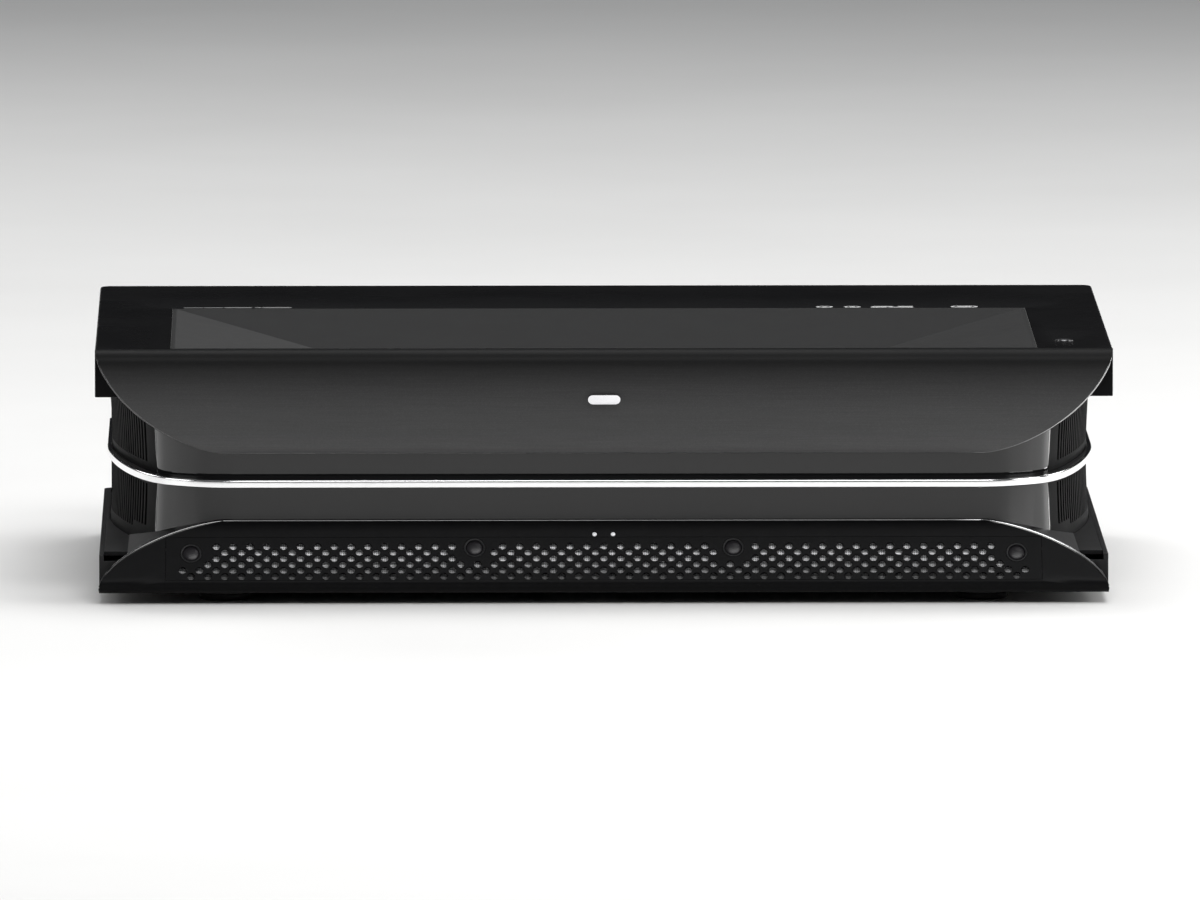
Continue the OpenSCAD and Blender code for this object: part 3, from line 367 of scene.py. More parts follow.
def well_painted_light_mat(name, slope, left, right):
    """Soft grey lining with painted light: the long slope is the deepest tone, and its two end facets are painted paler
    (the left facet, which faces right, the most), standing in for light from the right.
    """
    m, nt, b = new_mat(name)
    co = put(nt, "ShaderNodeTexCoord").outputs["Object"]
    geo = put(nt, "ShaderNodeNewGeometry")
    sep = put(nt, "ShaderNodeSeparateXYZ")
    nt.links.new(geo.outputs["True Normal"], sep.inputs[0])
    # painted light: facets facing right or left get a paler grey
    c = mix_rgb(nt, remap(nt, sep.outputs["X"], 0.06, 0.12), (slope,) * 3, (left,) * 3)
    c = mix_rgb(nt, remap(nt, sep.outputs["X"], -0.12, -0.06, 1.0, 0.0), c, (right,) * 3)
    mid = remap(nt, noise(nt, co, 160.0, 5.0), 0.3, 0.7, 0.0, 0.22)
    c = mix_rgb(nt, mid, c, (slope * 0.8,) * 3)
    nt.links.new(c, b.inputs["Base Color"])
    nt.links.new(remap(nt, noise(nt, co, 14.0, 3.0), 0.25, 0.75, 0.56, 0.68), b.inputs["Roughness"])
    b.inputs["Specular IOR Level"].default_value = 0.12
    bp = put(nt, "ShaderNodeBump")
    bp.inputs["Strength"].default_value = 0.25
    bp.inputs["Distance"].default_value = 0.0002
    nt.links.new(noise(nt, co, 2600.0, 3.0, 0.6), bp.inputs["Height"])
    nt.links.new(bp.outputs["Normal"], b.inputs["Normal"])
    return m


MAT = {
    "deck": plastic("deck_black", (0.0042, 0.0042, 0.0045), 0.28, 2400, 0.10, 0.12, dust=0.003, spec=0.045),
    "casing": plastic("casing_black", (0.0115, 0.0115, 0.012), 0.44, 2000, 0.22, 0.14, dust=0.004, spec=0.22),
    # well: end facets painted paler than the slope, painted light from the right
    "well": well_painted_light_mat("well_grey", 0.0145, 0.034, 0.0205),
    # visor: painted shade, the grey darkened towards the top and lightened low down
    "visor": painted_shade_graded("visor_titanium_painted_shade", ((VLOW, 0.150), (88, 0.105), (97, 0.080), (107, 0.060), (118, 0.039), (127, 0.022), (132, 0.011), (H, 0.0045)), 0.42, 0.15, 0.05),
    "waist": plastic("waist_gloss", (0.010, 0.010, 0.0105), 0.05, 3000, 0.006, 0.06, spec=0.5, smear=0.015),
    "lower": plastic("lower_black", (0.0042, 0.0042, 0.0045), 0.40, 3000, 0.05, 0.10, spec=0.06, smear=0.05),
    "side": plastic("side_black", (0.0035, 0.0035, 0.0037), 0.62, 2200, 0.2, 0.14, spec=0.045),
    "io": plastic("io_black", (0.034, 0.034, 0.035), 0.42, 2600, 0.18, 0.12),
    "port_black": plastic("port_black", (0.016, 0.016, 0.016), 0.34, 2800, 0.12, 0.12),
    "grille": plastic("grille_black", (0.0042, 0.0042, 0.0045), 0.42, 3000, 0.06, 0.1, spec=0.06),
    "sensor": plastic("sensor_gloss", (0.0085, 0.0075, 0.009), 0.30, 1500, 0.01, 0.15, spec=0.25, smear=0.03),
    "sensor_ring": plastic("sensor_ring", (0.0075, 0.0075, 0.008), 0.40, 3000, 0.05, 0.08, spec=0.2),
    "light": plastic("light_pipe", (0.80, 0.81, 0.83), 0.25, 2500, 0.03, 0.05, coat=0.6),
    "button": plastic("button_dark", (0.030, 0.030, 0.031), 0.30, 2600, 0.04, 0.08, metal=0.3, coat=0.3),
    "rubber": plastic("foot_rubber", (0.014, 0.014, 0.014), 0.72, 1400, 0.5, 0.2, spec=0.25),
    "foot": plastic("foot_wheel", (0.022, 0.022, 0.023), 0.46, 2200, 0.25, 0.14),
    "fan": plastic("fan_black", (0.016, 0.016, 0.017), 0.42, 2200, 0.15, 0.15),
    "lens": plastic("lens_black", (0.016, 0.016, 0.017), 0.36, 2200, 0.12, 0.12),
    "pinion": plastic("pinion_natural", (0.72, 0.70, 0.62), 0.42, 2200, 0.12, 0.06),
    "laser": plastic("laser_block", (0.42, 0.30, 0.14), 0.35, 1800, 0.15, 0.12, metal=0.9),
    "chrome": metal("trim_chrome", (0.95, 0.95, 0.955), 0.10, None, 0.012, 0.015, 700.0),
    "badge": metal("badge_chrome", (0.86, 0.86, 0.88), 0.16, (1, 30, 30), 0.04, 0.04),
    "cast": metal("cast_aluminium", (0.60, 0.60, 0.615), 0.42, None, 0.4, 0.10, 1500.0),
    "fin": metal("fin_aluminium", (0.66, 0.67, 0.68), 0.30, (1, 40, 1), 0.2, 0.08),
    "steel": metal("port_steel", (0.62, 0.62, 0.62), 0.28, (40, 1, 1), 0.12, 0.08),
    "screw": metal("screw_black", (0.10, 0.10, 0.105), 0.34, None, 0.2, 0.2),
    # edge beads: painted highlights, brighter towards the right end and at the sweeps
    "edge_up": painted_highlight_edge_mat("edge_painted_highlight_upper", ((-275, 0.10), (-190, 0.13), (0, 0.10), (190, 0.08), (235, 0.40), (275, 0.62)), 0.13),
    "edge_low": painted_highlight_edge_mat("edge_painted_highlight_lower", ((-275, 0.02), (-256, 0.03), (-243, 0.16), (-215, 0.16), (-190, 0.075), (190, 0.075), (212, 0.60), (243, 0.60), (256, 0.06), (275, 0.03)), 0.16),
    "edge_side": painted_highlight_edge_mat("edge_painted_highlight_side", ((-275, 0.16), (0, 0.16), (1, 0.50), (275, 0.50)), 0.14),
    "brass": metal("insert_brass", (0.72, 0.55, 0.26), 0.3, None, 0.2, 0.1),
    "gold": metal("contact_gold", (0.86, 0.66, 0.30), 0.22, None, 0.08, 0.05),
    "mirror": metal("mirror_coat", (0.93, 0.94, 0.95), 0.03, None, 0.005, 0.01),
    "window": glass("window_glass", (0.16, 0.19, 0.24), 0.02, trans=0.75),
    "optic": glass("lens_glass", (0.80, 0.86, 0.92), 0.01, ior=1.6),
    "diffuser": glass("diffuser_glass", (0.85, 0.87, 0.9), 0.4),
    "board": board("solder_mask", (0.012, 0.075, 0.035)),
    "ink": ink("printed_white", (0.55, 0.55, 0.55)),
    "ink_dim": ink("printed_grey", (0.17, 0.17, 0.17)),
    "inlay": plastic("inlay_blue", (0.02, 0.09, 0.35), 0.4, 2600, 0.1, 0.1),
}
glo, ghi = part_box("grille_mesh")
# cloth: painted light, the grey brightening towards the top of the grille
MAT["cloth"] = mesh_mat("grille_cloth_painted_light", glo.z + 0.002, glo.z + 0.0125)

SLOT_MAT = {
    "casing_black": "casing", "well_grey": "well", "window": "window", "visor_grey": "visor", "badge": "badge",
    "waist_gloss": "waist", "trim_chrome": "chrome", "casing_gloss": "lower", "grille_black": "grille", "mesh_steel": "cloth",
    "sensor_dark": "sensor", "light_pipe": "light", "io_black": "io", "port_steel": "steel", "port_black": "port_black",
    "brass_pins": "steel", "screw_steel": "screw", "insert_brass": "brass", "foot_rubber": "rubber", "foot_screw": "foot",
    "button_grey": "button", "pcb_green": "board", "cast_aluminium": "cast", "rubber_black": "rubber", "mirror": "mirror",
    "lens_black": "lens", "lens_glass": "optic", "motor_steel": "steel", "pinion_white": "pinion", "diffuser_glass": "diffuser",
    "laser_block": "laser", "fin_aluminium": "fin", "speaker_black": "fan", "fan_black": "fan",
}
slot_of = {s["node"]: s["material_slot"] for s in frame["record"]["subparts"]}
for n, o in NODES.items():
    o.data.materials.clear()
    o.data.materials.append(MAT[SLOT_MAT[slot_of[n]]])
body_of_node = {n: b for b, ns in frame["record"]["behaviour"]["bodies"].items() for n in ns}

# ================================================================= mesh tools


def finish_piece(name, bm, mat, node=None, body=None, bevel=0.0, angle=35.0, segs=2, smooth=32.0, solid=0.0, weld=0.002, keep=False, recalc=True):
    """Turns a bmesh in millimetres into a piece, in metres, that rides on node's body and stands for node."""
    if weld:
        bmesh.ops.remove_doubles(bm, verts=bm.verts, dist=weld)
    loose = [v for v in bm.verts if not v.link_faces]
    if loose:
        bmesh.ops.delete(bm, geom=loose, context="VERTS")
    if recalc:
        bmesh.ops.recalc_face_normals(bm, faces=bm.faces)
    bmesh.ops.scale(bm, vec=(MM, MM, MM), verts=bm.verts)
    me = bpy.data.meshes.new(name)
    bm.to_mesh(me)
    bm.free()
    me.polygons.foreach_set("use_smooth", [True] * len(me.polygons))
    if not bevel and not solid:
        me.set_sharp_from_angle(angle=math.radians(smooth))
    o = bpy.data.objects.new(name, me)
    bpy.context.scene.collection.objects.link(o)
    mats = mat if isinstance(mat, (list, tuple)) else [mat]
    for m_ in mats:
        me.materials.append(MAT[m_])
    if solid:
        md = o.modifiers.new("thickness", "SOLIDIFY")
        md.thickness = solid * MM
        md.offset = -1.0
        md.use_even_offset = True
        md.use_rim = True
    if bevel:
        md = o.modifiers.new("edge", "BEVEL")
        md.width = bevel * MM
        md.segments = segs
        md.limit_method = "ANGLE"
        md.angle_limit = math.radians(angle)
        md.use_clamp_overlap = True
        md.miter_outer = "MITER_SHARP"
    if bevel or solid:
        wn = o.modifiers.new("normals", "WEIGHTED_NORMAL")
        wn.keep_sharp = True
        wn.weight = 60
    b = body or (body_of_node[node] if node else "casing")
    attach(o, b)
    if node:
        if not keep:
            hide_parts(node)
    return o


def grid_faces(bm, P, flip=False, on=None, wrap=False):
    """Quads through a grid of points P[row][col]."""
    nr, nc = len(P), len(P[0])
    vs = [[bm.verts.new(p) for p in row] for row in P]
    for r in range(nr - 1):
        for c in range(nc if wrap else nc - 1):
            if on is not None and not on[r][c]:
                continue
            d = (c + 1) % nc
            q = [vs[r][c], vs[r][d], vs[r + 1][d], vs[r + 1][c]]
            if flip:
                q.reverse()
            try:
                bm.faces.new(q)
            except ValueError:
                pass
    return vs


def cell_shell(P, Q, on):
    """A closed sheet between two grids, with cells left out where on is false."""
    bm = bmesh.new()
    nr, nc = len(P), len(P[0])
    a = [[bm.verts.new(p) for p in row] for row in P]
    b = [[bm.verts.new(p) for p in row] for row in Q]
    live = lambda r, c: 0 <= r < nr - 1 and 0 <= c < nc - 1 and on[r][c]
    for r in range(nr - 1):
        for c in range(nc - 1):
            if not live(r, c):
                continue
            bm.faces.new([a[r][c], a[r][c + 1], a[r + 1][c + 1], a[r + 1][c]])
            bm.faces.new([b[r + 1][c], b[r + 1][c + 1], b[r][c + 1], b[r][c]])
            if not live(r - 1, c):
                bm.faces.new([a[r][c + 1], a[r][c], b[r][c], b[r][c + 1]])
            if not live(r + 1, c):
                bm.faces.new([a[r + 1][c], a[r + 1][c + 1], b[r + 1][c + 1], b[r + 1][c]])
            if not live(r, c - 1):
                bm.faces.new([a[r][c], a[r + 1][c], b[r + 1][c], b[r][c]])
            if not live(r, c + 1):
                bm.faces.new([a[r + 1][c + 1], a[r][c + 1], b[r][c + 1], b[r + 1][c + 1]])
    return bm


def lathe(bm, prof, mat4, n=64, start=0.0):
    """Revolves (radius, height) points round the local z of mat4."""
    rings = []
    for r, z in prof:
        if r < 1e-6:
            rings.append([bm.verts.new(mat4 @ Vector((0, 0, z)))])
        else:
            rings.append([bm.verts.new(mat4 @ Vector((r * math.cos(start + 2 * math.pi * k / n), r * math.sin(start + 2 * math.pi * k / n), z))) for k in range(n)])
    for a, b in zip(rings, rings[1:]):
        for k in range(n):
            j = (k + 1) % n
            if len(a) == 1 and len(b) == 1:
                continue
            if len(a) == 1:
                bm.faces.new([a[0], b[k], b[j]])
            elif len(b) == 1:
                bm.faces.new([a[k], a[j], b[0]])
            else:
                bm.faces.new([a[k], a[j], b[j], b[k]])


def refine(node, bevel=0.35, angle=30.0, segs=2, mat=None, flat_tol=0.4, name=None, split=False):
    """The CAD node's own shape with its flats joined up and its edges rounded over."""
    bm = bmesh.new()
    bm.from_mesh(NODES[node].data)
    bmesh.ops.scale(bm, vec=(1000, 1000, 1000), verts=bm.verts)
    bmesh.ops.remove_doubles(bm, verts=bm.verts, dist=0.003)
    bmesh.ops.dissolve_limit(bm, angle_limit=math.radians(flat_tol), use_dissolve_boundaries=False, verts=bm.verts, edges=bm.edges)
    if split:
        bmesh.ops.triangulate(bm, faces=[f for f in bm.faces if len(f.verts) > 4], ngon_method="BEAUTY")
    return finish_piece(name or node + "_moulded", bm, mat or SLOT_MAT[slot_of[node]], node=node, bevel=bevel, angle=angle, segs=segs, recalc=False)


# ---------------------------------------------------------------- curves shared with the frame


def cr(a, b, c, d, t):
    return 0.5 * ((2 * b) + (c - a) * t + (2 * a - 5 * b + 4 * c - d) * t * t + (3 * b - a - 3 * c + d) * t ** 3)


def spline(p, n):
    p = np.array(p, float)
    out = []
    for i in range(len(p) - 1):
        for k in range(n):
            out.append(cr(p[max(i - 1, 0)], p[i], p[i + 1], p[min(i + 2, len(p) - 1)], k / n))
    out.append(p[-1])
    return np.array(out)


def normals(p):
    t = np.zeros_like(p)
    t[1:-1] = p[2:] - p[:-2]
    t[0], t[-1] = p[1] - p[0], p[-1] - p[-2]
    t /= np.linalg.norm(t, axis=1)[:, None]
    return np.stack([-t[:, 1], t[:, 0]], 1)


def offs(p, d):
    return p + normals(p) * d


CORE0 = [(200, -144), (214, -141.5), (226, -134.5), (235, -125), (241, -114), (248, -92), (254, -66), (259.5, -38), (263.5, -10), (266, 20)]
CORE = np.vstack([[(0, -144)], [(x, -144) for x in range(20, 200, 20)], spline(CORE0, 8), [(266, y) for y in range(30, 164, 10)], [(266, 163)]])
CORE = CORE[np.r_[True, np.linalg.norm(np.diff(CORE, axis=0), axis=1) > 1e-6]]
TRIM0 = [(205, -158), (216, -155.5), (228, -149), (238, -139), (246, -124), (252.5, -104), (258, -80), (262.5, -54), (266, -26), (268.3, 0), (269, 24)]
TRIM = np.vstack([[(0, -158)], [(x, -158) for x in range(15, 200, 15)], spline(TRIM0, 8), [(269, y) for y in range(34, 160, 14)], [(269, 160)]])


def swell(z):
    return 3 * (abs(z - 62) / 54) ** 1.7


def core_at(z, d=0.0):
    return offs(CORE, -swell(z) - d)


def core_y(x, z, d=0.3):
    """How far back the core's face is, at a distance x from the middle."""
    p = core_at(z, d)
    i = int(np.argmax(p[:, 0]))
    q = p[: i + 1]
    if abs(x) >= q[-1, 0]:
        return -20.0
    return min(float(np.interp(abs(x), q[:, 0], q[:, 1])), -20.0)


# ================================================================= upper front panel
EXP = 1.55


def flare_cols(x0, x1, n, extra=()):
    """Columns along the swept end: (x, height fraction)."""
    cols = []
    for k in range(1, n + 1):
        f = math.radians(90 * k / n)
        cols.append((x0 + (x1 - x0) * math.sin(f) ** (2 / EXP), 1 - math.cos(f) ** (2 / EXP)))
    return cols


# profile of the upper panel
vp = [(-D + 8 + 8 * math.cos(math.radians(a)), H - 8 + 8 * math.sin(math.radians(a))) for a in np.linspace(90, 180, 25)]
vp += [(-D + 26.5 * w ** 2.2, (H - 10) - (H - 10 - VLOW) * w) for w in np.linspace(0.001, 1, 90)]
vp = np.array(vp)
vs_ = np.r_[0, np.cumsum(np.linalg.norm(np.diff(vp, axis=0), axis=1))]


def on_profile(prof, s, at):
    return np.stack([np.interp(at, s, prof[:, 0]), np.interp(at, s, prof[:, 1])], 1)


def bez(a, b, c, n):
    t = np.linspace(0, 1, n + 2)[1:-1, None]
    return (1 - t) ** 2 * a + 2 * t * (1 - t) * b + t * t * c


def visor_column(x, zb, y_end, m=46):
    s_end = float(np.interp(-zb, -vp[:, 1], vs_))
    f = min(1.1, 0.3 * s_end)
    pts = on_profile(vp, vs_, np.linspace(0, max(s_end - f, 1e-4), m))
    c = on_profile(vp, vs_, np.array([s_end]))[0]
    e = np.array([min(c[0] + f, y_end), c[1]])
    back = np.array([[e[0] + (y_end - e[0]) * t, c[1]] for t in (0.0, 0.06, 0.35, 0.7, 1.0)])
    pts = np.vstack([pts, bez(pts[-1], c, e, 4), back])
    return [(x, p[0], p[1]) for p in pts]


cols = [(x, VLOW) for x in np.linspace(0, 205, 30)]
cols += [(x, VLOW + (H - VLOW) * h) for x, h in flare_cols(205, VIS_HI[0] - 0.05, 64)]
step = DECK_Z0 - 0.25
xs, zs = [c[0] for c in cols], [c[1] for c in cols]
for z in (step, step + 0.25):
    i = next(k for k in range(len(zs)) if zs[k] > z)
    t = (z - zs[i - 1]) / (zs[i] - zs[i - 1])
    xs.insert(i, xs[i - 1] + t * (xs[i] - xs[i - 1]))
    zs.insert(i, z)
half = []
for x, z in zip(xs, zs):
    ye = core_y(x, z) if z <= step + 0.01 else DECK_F - 0.35
    half.append(visor_column(x, min(z, H - 0.02), ye))
full = [[(-p[0], p[1], p[2]) for p in c] for c in half[:0:-1]] + half
bm = bmesh.new()
grid_faces(bm, full)
bmesh.ops.remove_doubles(bm, verts=bm.verts, dist=0.004)
bmesh.ops.recalc_face_normals(bm, faces=bm.faces)
big = max(bm.faces, key=lambda f: f.calc_area() if abs(f.calc_center_median().x) < 150 and f.calc_center_median().z > 110 else 0)
if big.normal.y > 0:
    bmesh.ops.reverse_faces(bm, faces=bm.faces)
finish_piece("fascia_visor_shell", bm, "visor", "fascia_visor", solid=2.2, bevel=0.25, angle=50, recalc=False, weld=0)



def tube(name, path, r, mat, body="casing", n=10):
    """A slim bead along a path of points."""
    bm = bmesh.new()
    p = [Vector(q) for q in path]
    rings = []
    for i, q in enumerate(p):
        t = (p[min(i + 1, len(p) - 1)] - p[max(i - 1, 0)]).normalized()
        u = t.cross(Vector((0, 0, 1)))
        if u.length < 0.2:
            u = t.cross(Vector((0, 1, 0)))
        u.normalize()
        w = u.cross(t).normalized()
        k_ = r * min(1.0, 0.25 + 0.75 * min(i, len(p) - 1 - i) / 4)
        rings.append([tuple(q + u * k_ * math.cos(2 * math.pi * j / n) + w * k_ * math.sin(2 * math.pi * j / n)) for j in range(n)])
    vs = grid_faces(bm, rings, wrap=True)
    bm.faces.new(vs[0][::-1])
    bm.faces.new(vs[-1])
    return finish_piece(name, bm, mat, None, body=body, smooth=60)


def edge_path(cols_, rows_, lim):
    out = []
    for c in cols_:
        q = Vector(c[rows_[0]]).lerp(Vector(c[rows_[1]]), 0.5)
        if abs(q.x) <= lim and (not out or (q - out[-1]).length > 0.35):
            out.append(q)
    return out


tube("visor_edge_bead", edge_path(full, (-8, -7), W - 1.0), 0.42, "edge_up")

# ================================================================= lower front panel
SL0, SL1 = np.array((-170.9, 12.4)), np.array((-153.0, 37.53))
slope = (SL1 - SL0) / np.linalg.norm(SL1 - SL0)


def slope_at(v):
    """A point on the sloping face, v up from the grille's lower edge."""
    return np.array((-170.19, 13.4)) + slope * v


lp = [(-160.0, FOOT_GAP), (-163, FOOT_GAP)]
lp += [(-166.2 + 4.8 * math.cos(math.radians(a)), 10.8 + 4.8 * math.sin(math.radians(a))) for a in np.linspace(270, 144.55, 22)]
lp += [tuple(slope_at(v)) for v in (0.6, 2, 6, 10, 14, 18, 22, 26, 28, 29.4)]
lp += [tuple(p) for p in bez(slope_at(29.6), np.array((-149.1, LTOP)), np.array((-146.2, LTOP)), 14)]
lp += [(-146.2, LTOP)]
lp = np.array(lp)
ls = np.r_[0, np.cumsum(np.linalg.norm(np.diff(lp, axis=0), axis=1))]
GX, GV = 236.0, 26.2
s1 = float(np.interp(slope_at(-0.2)[1], lp[3:, 1], ls[3:]))
s2 = float(np.interp(slope_at(GV + 0.2)[1], lp[3:, 1], ls[3:]))


def s_of_z(z):
    k = int(np.argmax(lp[:, 1] > FOOT_GAP + 0.001))
    return float(np.interp(z, lp[k:, 1], ls[k:]))


R1, R2, R3 = 16, 8, 22


def lower_column(x, zt, y_end, k):
    s_end = s_of_z(zt) if zt < LTOP - 0.01 else ls[-1]
    f = 0.9
    top = s_end - f
    a, b = s1 * k, s2 * k
    at = np.r_[np.linspace(0, a, R1 + 1), np.linspace(a, b, R2 + 1)[1:], np.linspace(b, top, R3 + 1)[1:]]
    pts = on_profile(lp, ls, at)
    c = on_profile(lp, ls, np.array([s_end]))[0]
    e = np.array([min(c[0] + f, y_end), c[1]])
    back = np.array([[e[0] + (y_end - e[0]) * t, c[1]] for t in (0.0, 0.06, 0.35, 0.7, 1.0)])
    pts = np.vstack([pts, bez(pts[-1], c, e, 4), back])
    return [(x, p[0], p[1]) for p in pts]


LX = LOW_HI[0]
cols = [(x, LTOP) for x in np.linspace(0, 205, 30)]
cols += [(x, LTOP - (LTOP - 10) * h) for x, h in flare_cols(205, LX, 60)]
xs, zs = [c[0] for c in cols], [c[1] for c in cols]


def insert_at(xs, zs, x=None, z=None):
    if x is not None:
        i = next(k for k in range(len(xs)) if xs[k] > x)
        t = (x - xs[i - 1]) / (xs[i] - xs[i - 1])
        xs.insert(i, x)
        zs.insert(i, zs[i - 1] + t * (zs[i] - zs[i - 1]))
    else:
        i = next(k for k in range(len(zs)) if zs[k] < z)
        t = (z - zs[i - 1]) / (zs[i] - zs[i - 1])
        xs.insert(i, xs[i - 1] + t * (xs[i] - xs[i - 1]))
        zs.insert(i, z)


insert_at(xs, zs, x=GX + 0.2)
insert_at(xs, zs, z=26.35)
insert_at(xs, zs, z=26.1)
ref = s_of_z(zs[xs.index(GX + 0.2)]) - 0.9
half = []
for x, z in zip(xs, zs):
    k = 1.0 if x <= GX + 0.2 else (s_of_z(z) - 0.9) / ref
    ye = core_y(x, z) if z >= 26.3 else -160.2
    half.append(lower_column(x, z, ye, k))
full = [[(-p[0], p[1], p[2]) for p in c] for c in half[:0:-1]] + half
on = []
for i in range(len(full) - 1):
    mid = abs((full[i][0][0] + full[i + 1][0][0]) / 2)
    on.append([not (mid < GX + 0.2 and R1 <= r < R1 + R2) for r in range(len(full[0]) - 1)])
bm = bmesh.new()
grid_faces(bm, full, on=on)
bmesh.ops.remove_doubles(bm, verts=bm.verts, dist=0.004)
bmesh.ops.recalc_face_normals(bm, faces=bm.faces)
big = max(bm.faces, key=lambda f: f.calc_area() if f.calc_center_median().z > 36 and f.calc_center_median().y < -147 else 0)
if big.normal.y > 0:
    bmesh.ops.reverse_faces(bm, faces=bm.faces)
finish_piece("lower_visor_shell", bm, "lower", "lower_visor", solid=2.0, bevel=0.2, angle=50, recalc=False, weld=0)

tube("lower_edge_bead", [q - Vector((0, 0, 0.35)) for q in edge_path(full, (-8, -7), LX - 1.6)], 0.95, "edge_low")

# ================================================================= waist panel and side panels


def arc_len(p):
    return np.r_[0, np.cumsum(np.linalg.norm(np.diff(p, axis=0), axis=1))]


iS = int(np.argmin(np.abs(CORE[:, 0] - 241) + np.abs(CORE[:, 1] + 114)))
zrow = np.r_[np.linspace(22, 116, 33)]
P, Q = [], []
for z in zrow:
    o_, i_ = core_at(z), core_at(z, -2.5)
    rows = []
    for a in (o_, i_):
        right = a[: iS + 1]
        left = right[:0:-1] * (-1, 1)
        rows.append(np.vstack([left, right]))
    P.append([(p[0], p[1], z) for p in rows[0]])
    Q.append([(p[0], p[1], z) for p in rows[1]])
bm = cell_shell(P, Q, [[True] * (len(P[0]) - 1) for _ in range(len(P) - 1)])
finish_piece("waist_panel_shell", bm, "waist", "waist_panel", bevel=0.5, angle=50)

for s in (-1, 1):
    seam = [Vector((s * core_at(z, -0.35)[iS][0], core_at(z, -0.35)[iS][1], z)) for z in np.linspace(27.5, DECK_Z0 - 1.5, 40) if abs(z - (TR_LO[2] + TR_HI[2]) / 2) > 2.8]
    low, high = [q for q in seam if q.z < TR_LO[2]], [q for q in seam if q.z > TR_HI[2]]
    side = "right" if s > 0 else "left"
    tube("waist_seam_bead_%s_low" % side, low, 0.6, "edge_side")
    tube("waist_seam_bead_%s_high" % side, high, 0.6, "edge_side")

SLOTS, SLOT_W, TZ = 42, 3.0, (TR_LO[2] + TR_HI[2]) / 2
base = CORE[iS:]
ys = sorted(set([round(v, 3) for i in range(SLOTS) for v in (-98 + 6 * i, -98 + 6 * i + SLOT_W) if v < 155] + [-114.0, -106, 153.5, 157, 163.0]))
yidx = np.interp(ys, base[:, 1], np.arange(len(base)))
zr = sorted(set([22.0, 24, 26, 29, 116.0, 113, 110] + list(np.linspace(32, TZ - 6, 9)) + list(np.linspace(TZ + 6, 106, 9)) + [TZ - 2, TZ + 2]))


def side_grid(d, s):
    g = []
    for z in zr:
        o_ = core_at(z, d)[iS:]
        g.append([(s * float(np.interp(t, np.arange(len(o_)), o_[:, 0])), float(np.interp(t, np.arange(len(o_)), o_[:, 1])), z) for t in yidx])
    return g


for s, node in ((1, "side_panel_right"), (-1, "side_panel_left")):
    P, Q = side_grid(0, s), side_grid(-2.5, s)
    on = []
    for r in range(len(zr) - 1):
        zc = (zr[r] + zr[r + 1]) / 2
        row = []
        for c in range(len(ys) - 1):
            yc = (ys[c] + ys[c + 1]) / 2
            i = int(round((yc - SLOT_W / 2 + 98) / 6))
            slot = abs(yc - (-98 + 6 * i + SLOT_W / 2)) < 0.1 and 0 <= i < SLOTS and yc < 152
            rear = max(0, 10 - i)
            hi_, lo_ = 106 - rear * 0.9, 32 + rear * 0.3
            inz = (TZ + 6 < zc < max(hi_, TZ + 8)) or (lo_ < zc < TZ - 6)
            row.append(not (slot and inz))
        on.append(row)
    bm = cell_shell(P, Q, on)
    finish_piece(node + "_louvre", bm, "side", node, bevel=0.3, angle=50)

# ================================================================= bright strip round the waist
tl, th = TR_LO[2], TR_HI[2]
r = 0.7
sec = []
for (dx, zc, a0) in ((r, th - r, 90), (r, tl + r, 180)):
    sec += [(dx + r * math.cos(math.radians(a)), zc + r * math.sin(math.radians(a))) for a in np.linspace(a0, a0 + 90, 7)]
sec += [(2.2, tl), (2.2, th)]
path = np.vstack([(TRIM * (-1, 1))[:0:-1], TRIM])
nn = normals(path)
bm = bmesh.new()
rings = [[(p[0] + nv[0] * d, p[1] + nv[1] * d, z) for d, z in sec] for p, nv in zip(path, nn)]
vsr = grid_faces(bm, rings, wrap=True)
bm.faces.new(vsr[0])
bm.faces.new(vsr[-1][::-1])
finish_piece("waist_trim_strip", bm, "chrome", "waist_trim", smooth=40)

# carrier of the strip, with a shadow groove above and below it
bm = bmesh.new()
zt0, zt1 = box_mm("trim_shelf")[0][2], box_mm("trim_shelf")[1][2]
lim = [p for p in offs(TRIM, 2.3) if p[1] <= 18]
co = offs(CORE, -0.15)
outer = np.array(lim)
inner = np.array([p for p in co if p[1] <= 17])
outer_f = np.vstack([(outer * (-1, 1))[:0:-1], outer])
inner_f = np.vstack([(inner * (-1, 1))[:0:-1], inner])


def along_path(p, n):
    s = arc_len(p)
    u = np.linspace(0, s[-1], n)
    return np.stack([np.interp(u, s, p[:, 0]), np.interp(u, s, p[:, 1])], 1)


ao, ai = along_path(outer_f, 260), along_path(inner_f, 260)
P = [[(p[0], p[1], zt1) for p in ao], [(p[0], p[1], zt1) for p in ai]]
Q = [[(p[0], p[1], zt0) for p in ao], [(p[0], p[1], zt0) for p in ai]]
bm = cell_shell(P, Q, [[True] * 259])
finish_piece("trim_shelf_web", bm, "casing", "trim_shelf", bevel=0.3, angle=50)

# ================================================================= top cover


def rr_loop(hw, y0, y1, r, n=14, front_square=True):
    """Anticlockwise outline of the top: rounded at the back, square at the front."""
    pts = [(-hw, y0)] + [(x, y0) for x in np.linspace(-hw, hw, 13)[1:-1]] + [(hw, y0)]
    pts += [(hw, y) for y in np.linspace(y0, y1 - r, 9)[1:-1]]
    pts += [(hw - r + r * math.cos(a), y1 - r + r * math.sin(a)) for a in np.linspace(0, math.pi / 2, n)]
    pts += [(x, y1) for x in np.linspace(hw - r, -hw + r, 13)[1:-1]]
    pts += [(-hw + r - r * math.sin(a), y1 - r + r * math.cos(a)) for a in np.linspace(0, math.pi / 2, n)]
    pts += [(-hw, y) for y in np.linspace(y1 - r, y0, 9)[1:-1]]
    return pts


WELL_LO, WELL_HI = box_mm("well_liner")


def deck_ring(o_side, o_front, z, r):
    return [(x, y, z) for x, y in rr_loop(W - o_side, DECK_F + o_front, D - o_side, max(r - o_side, 0.8))]


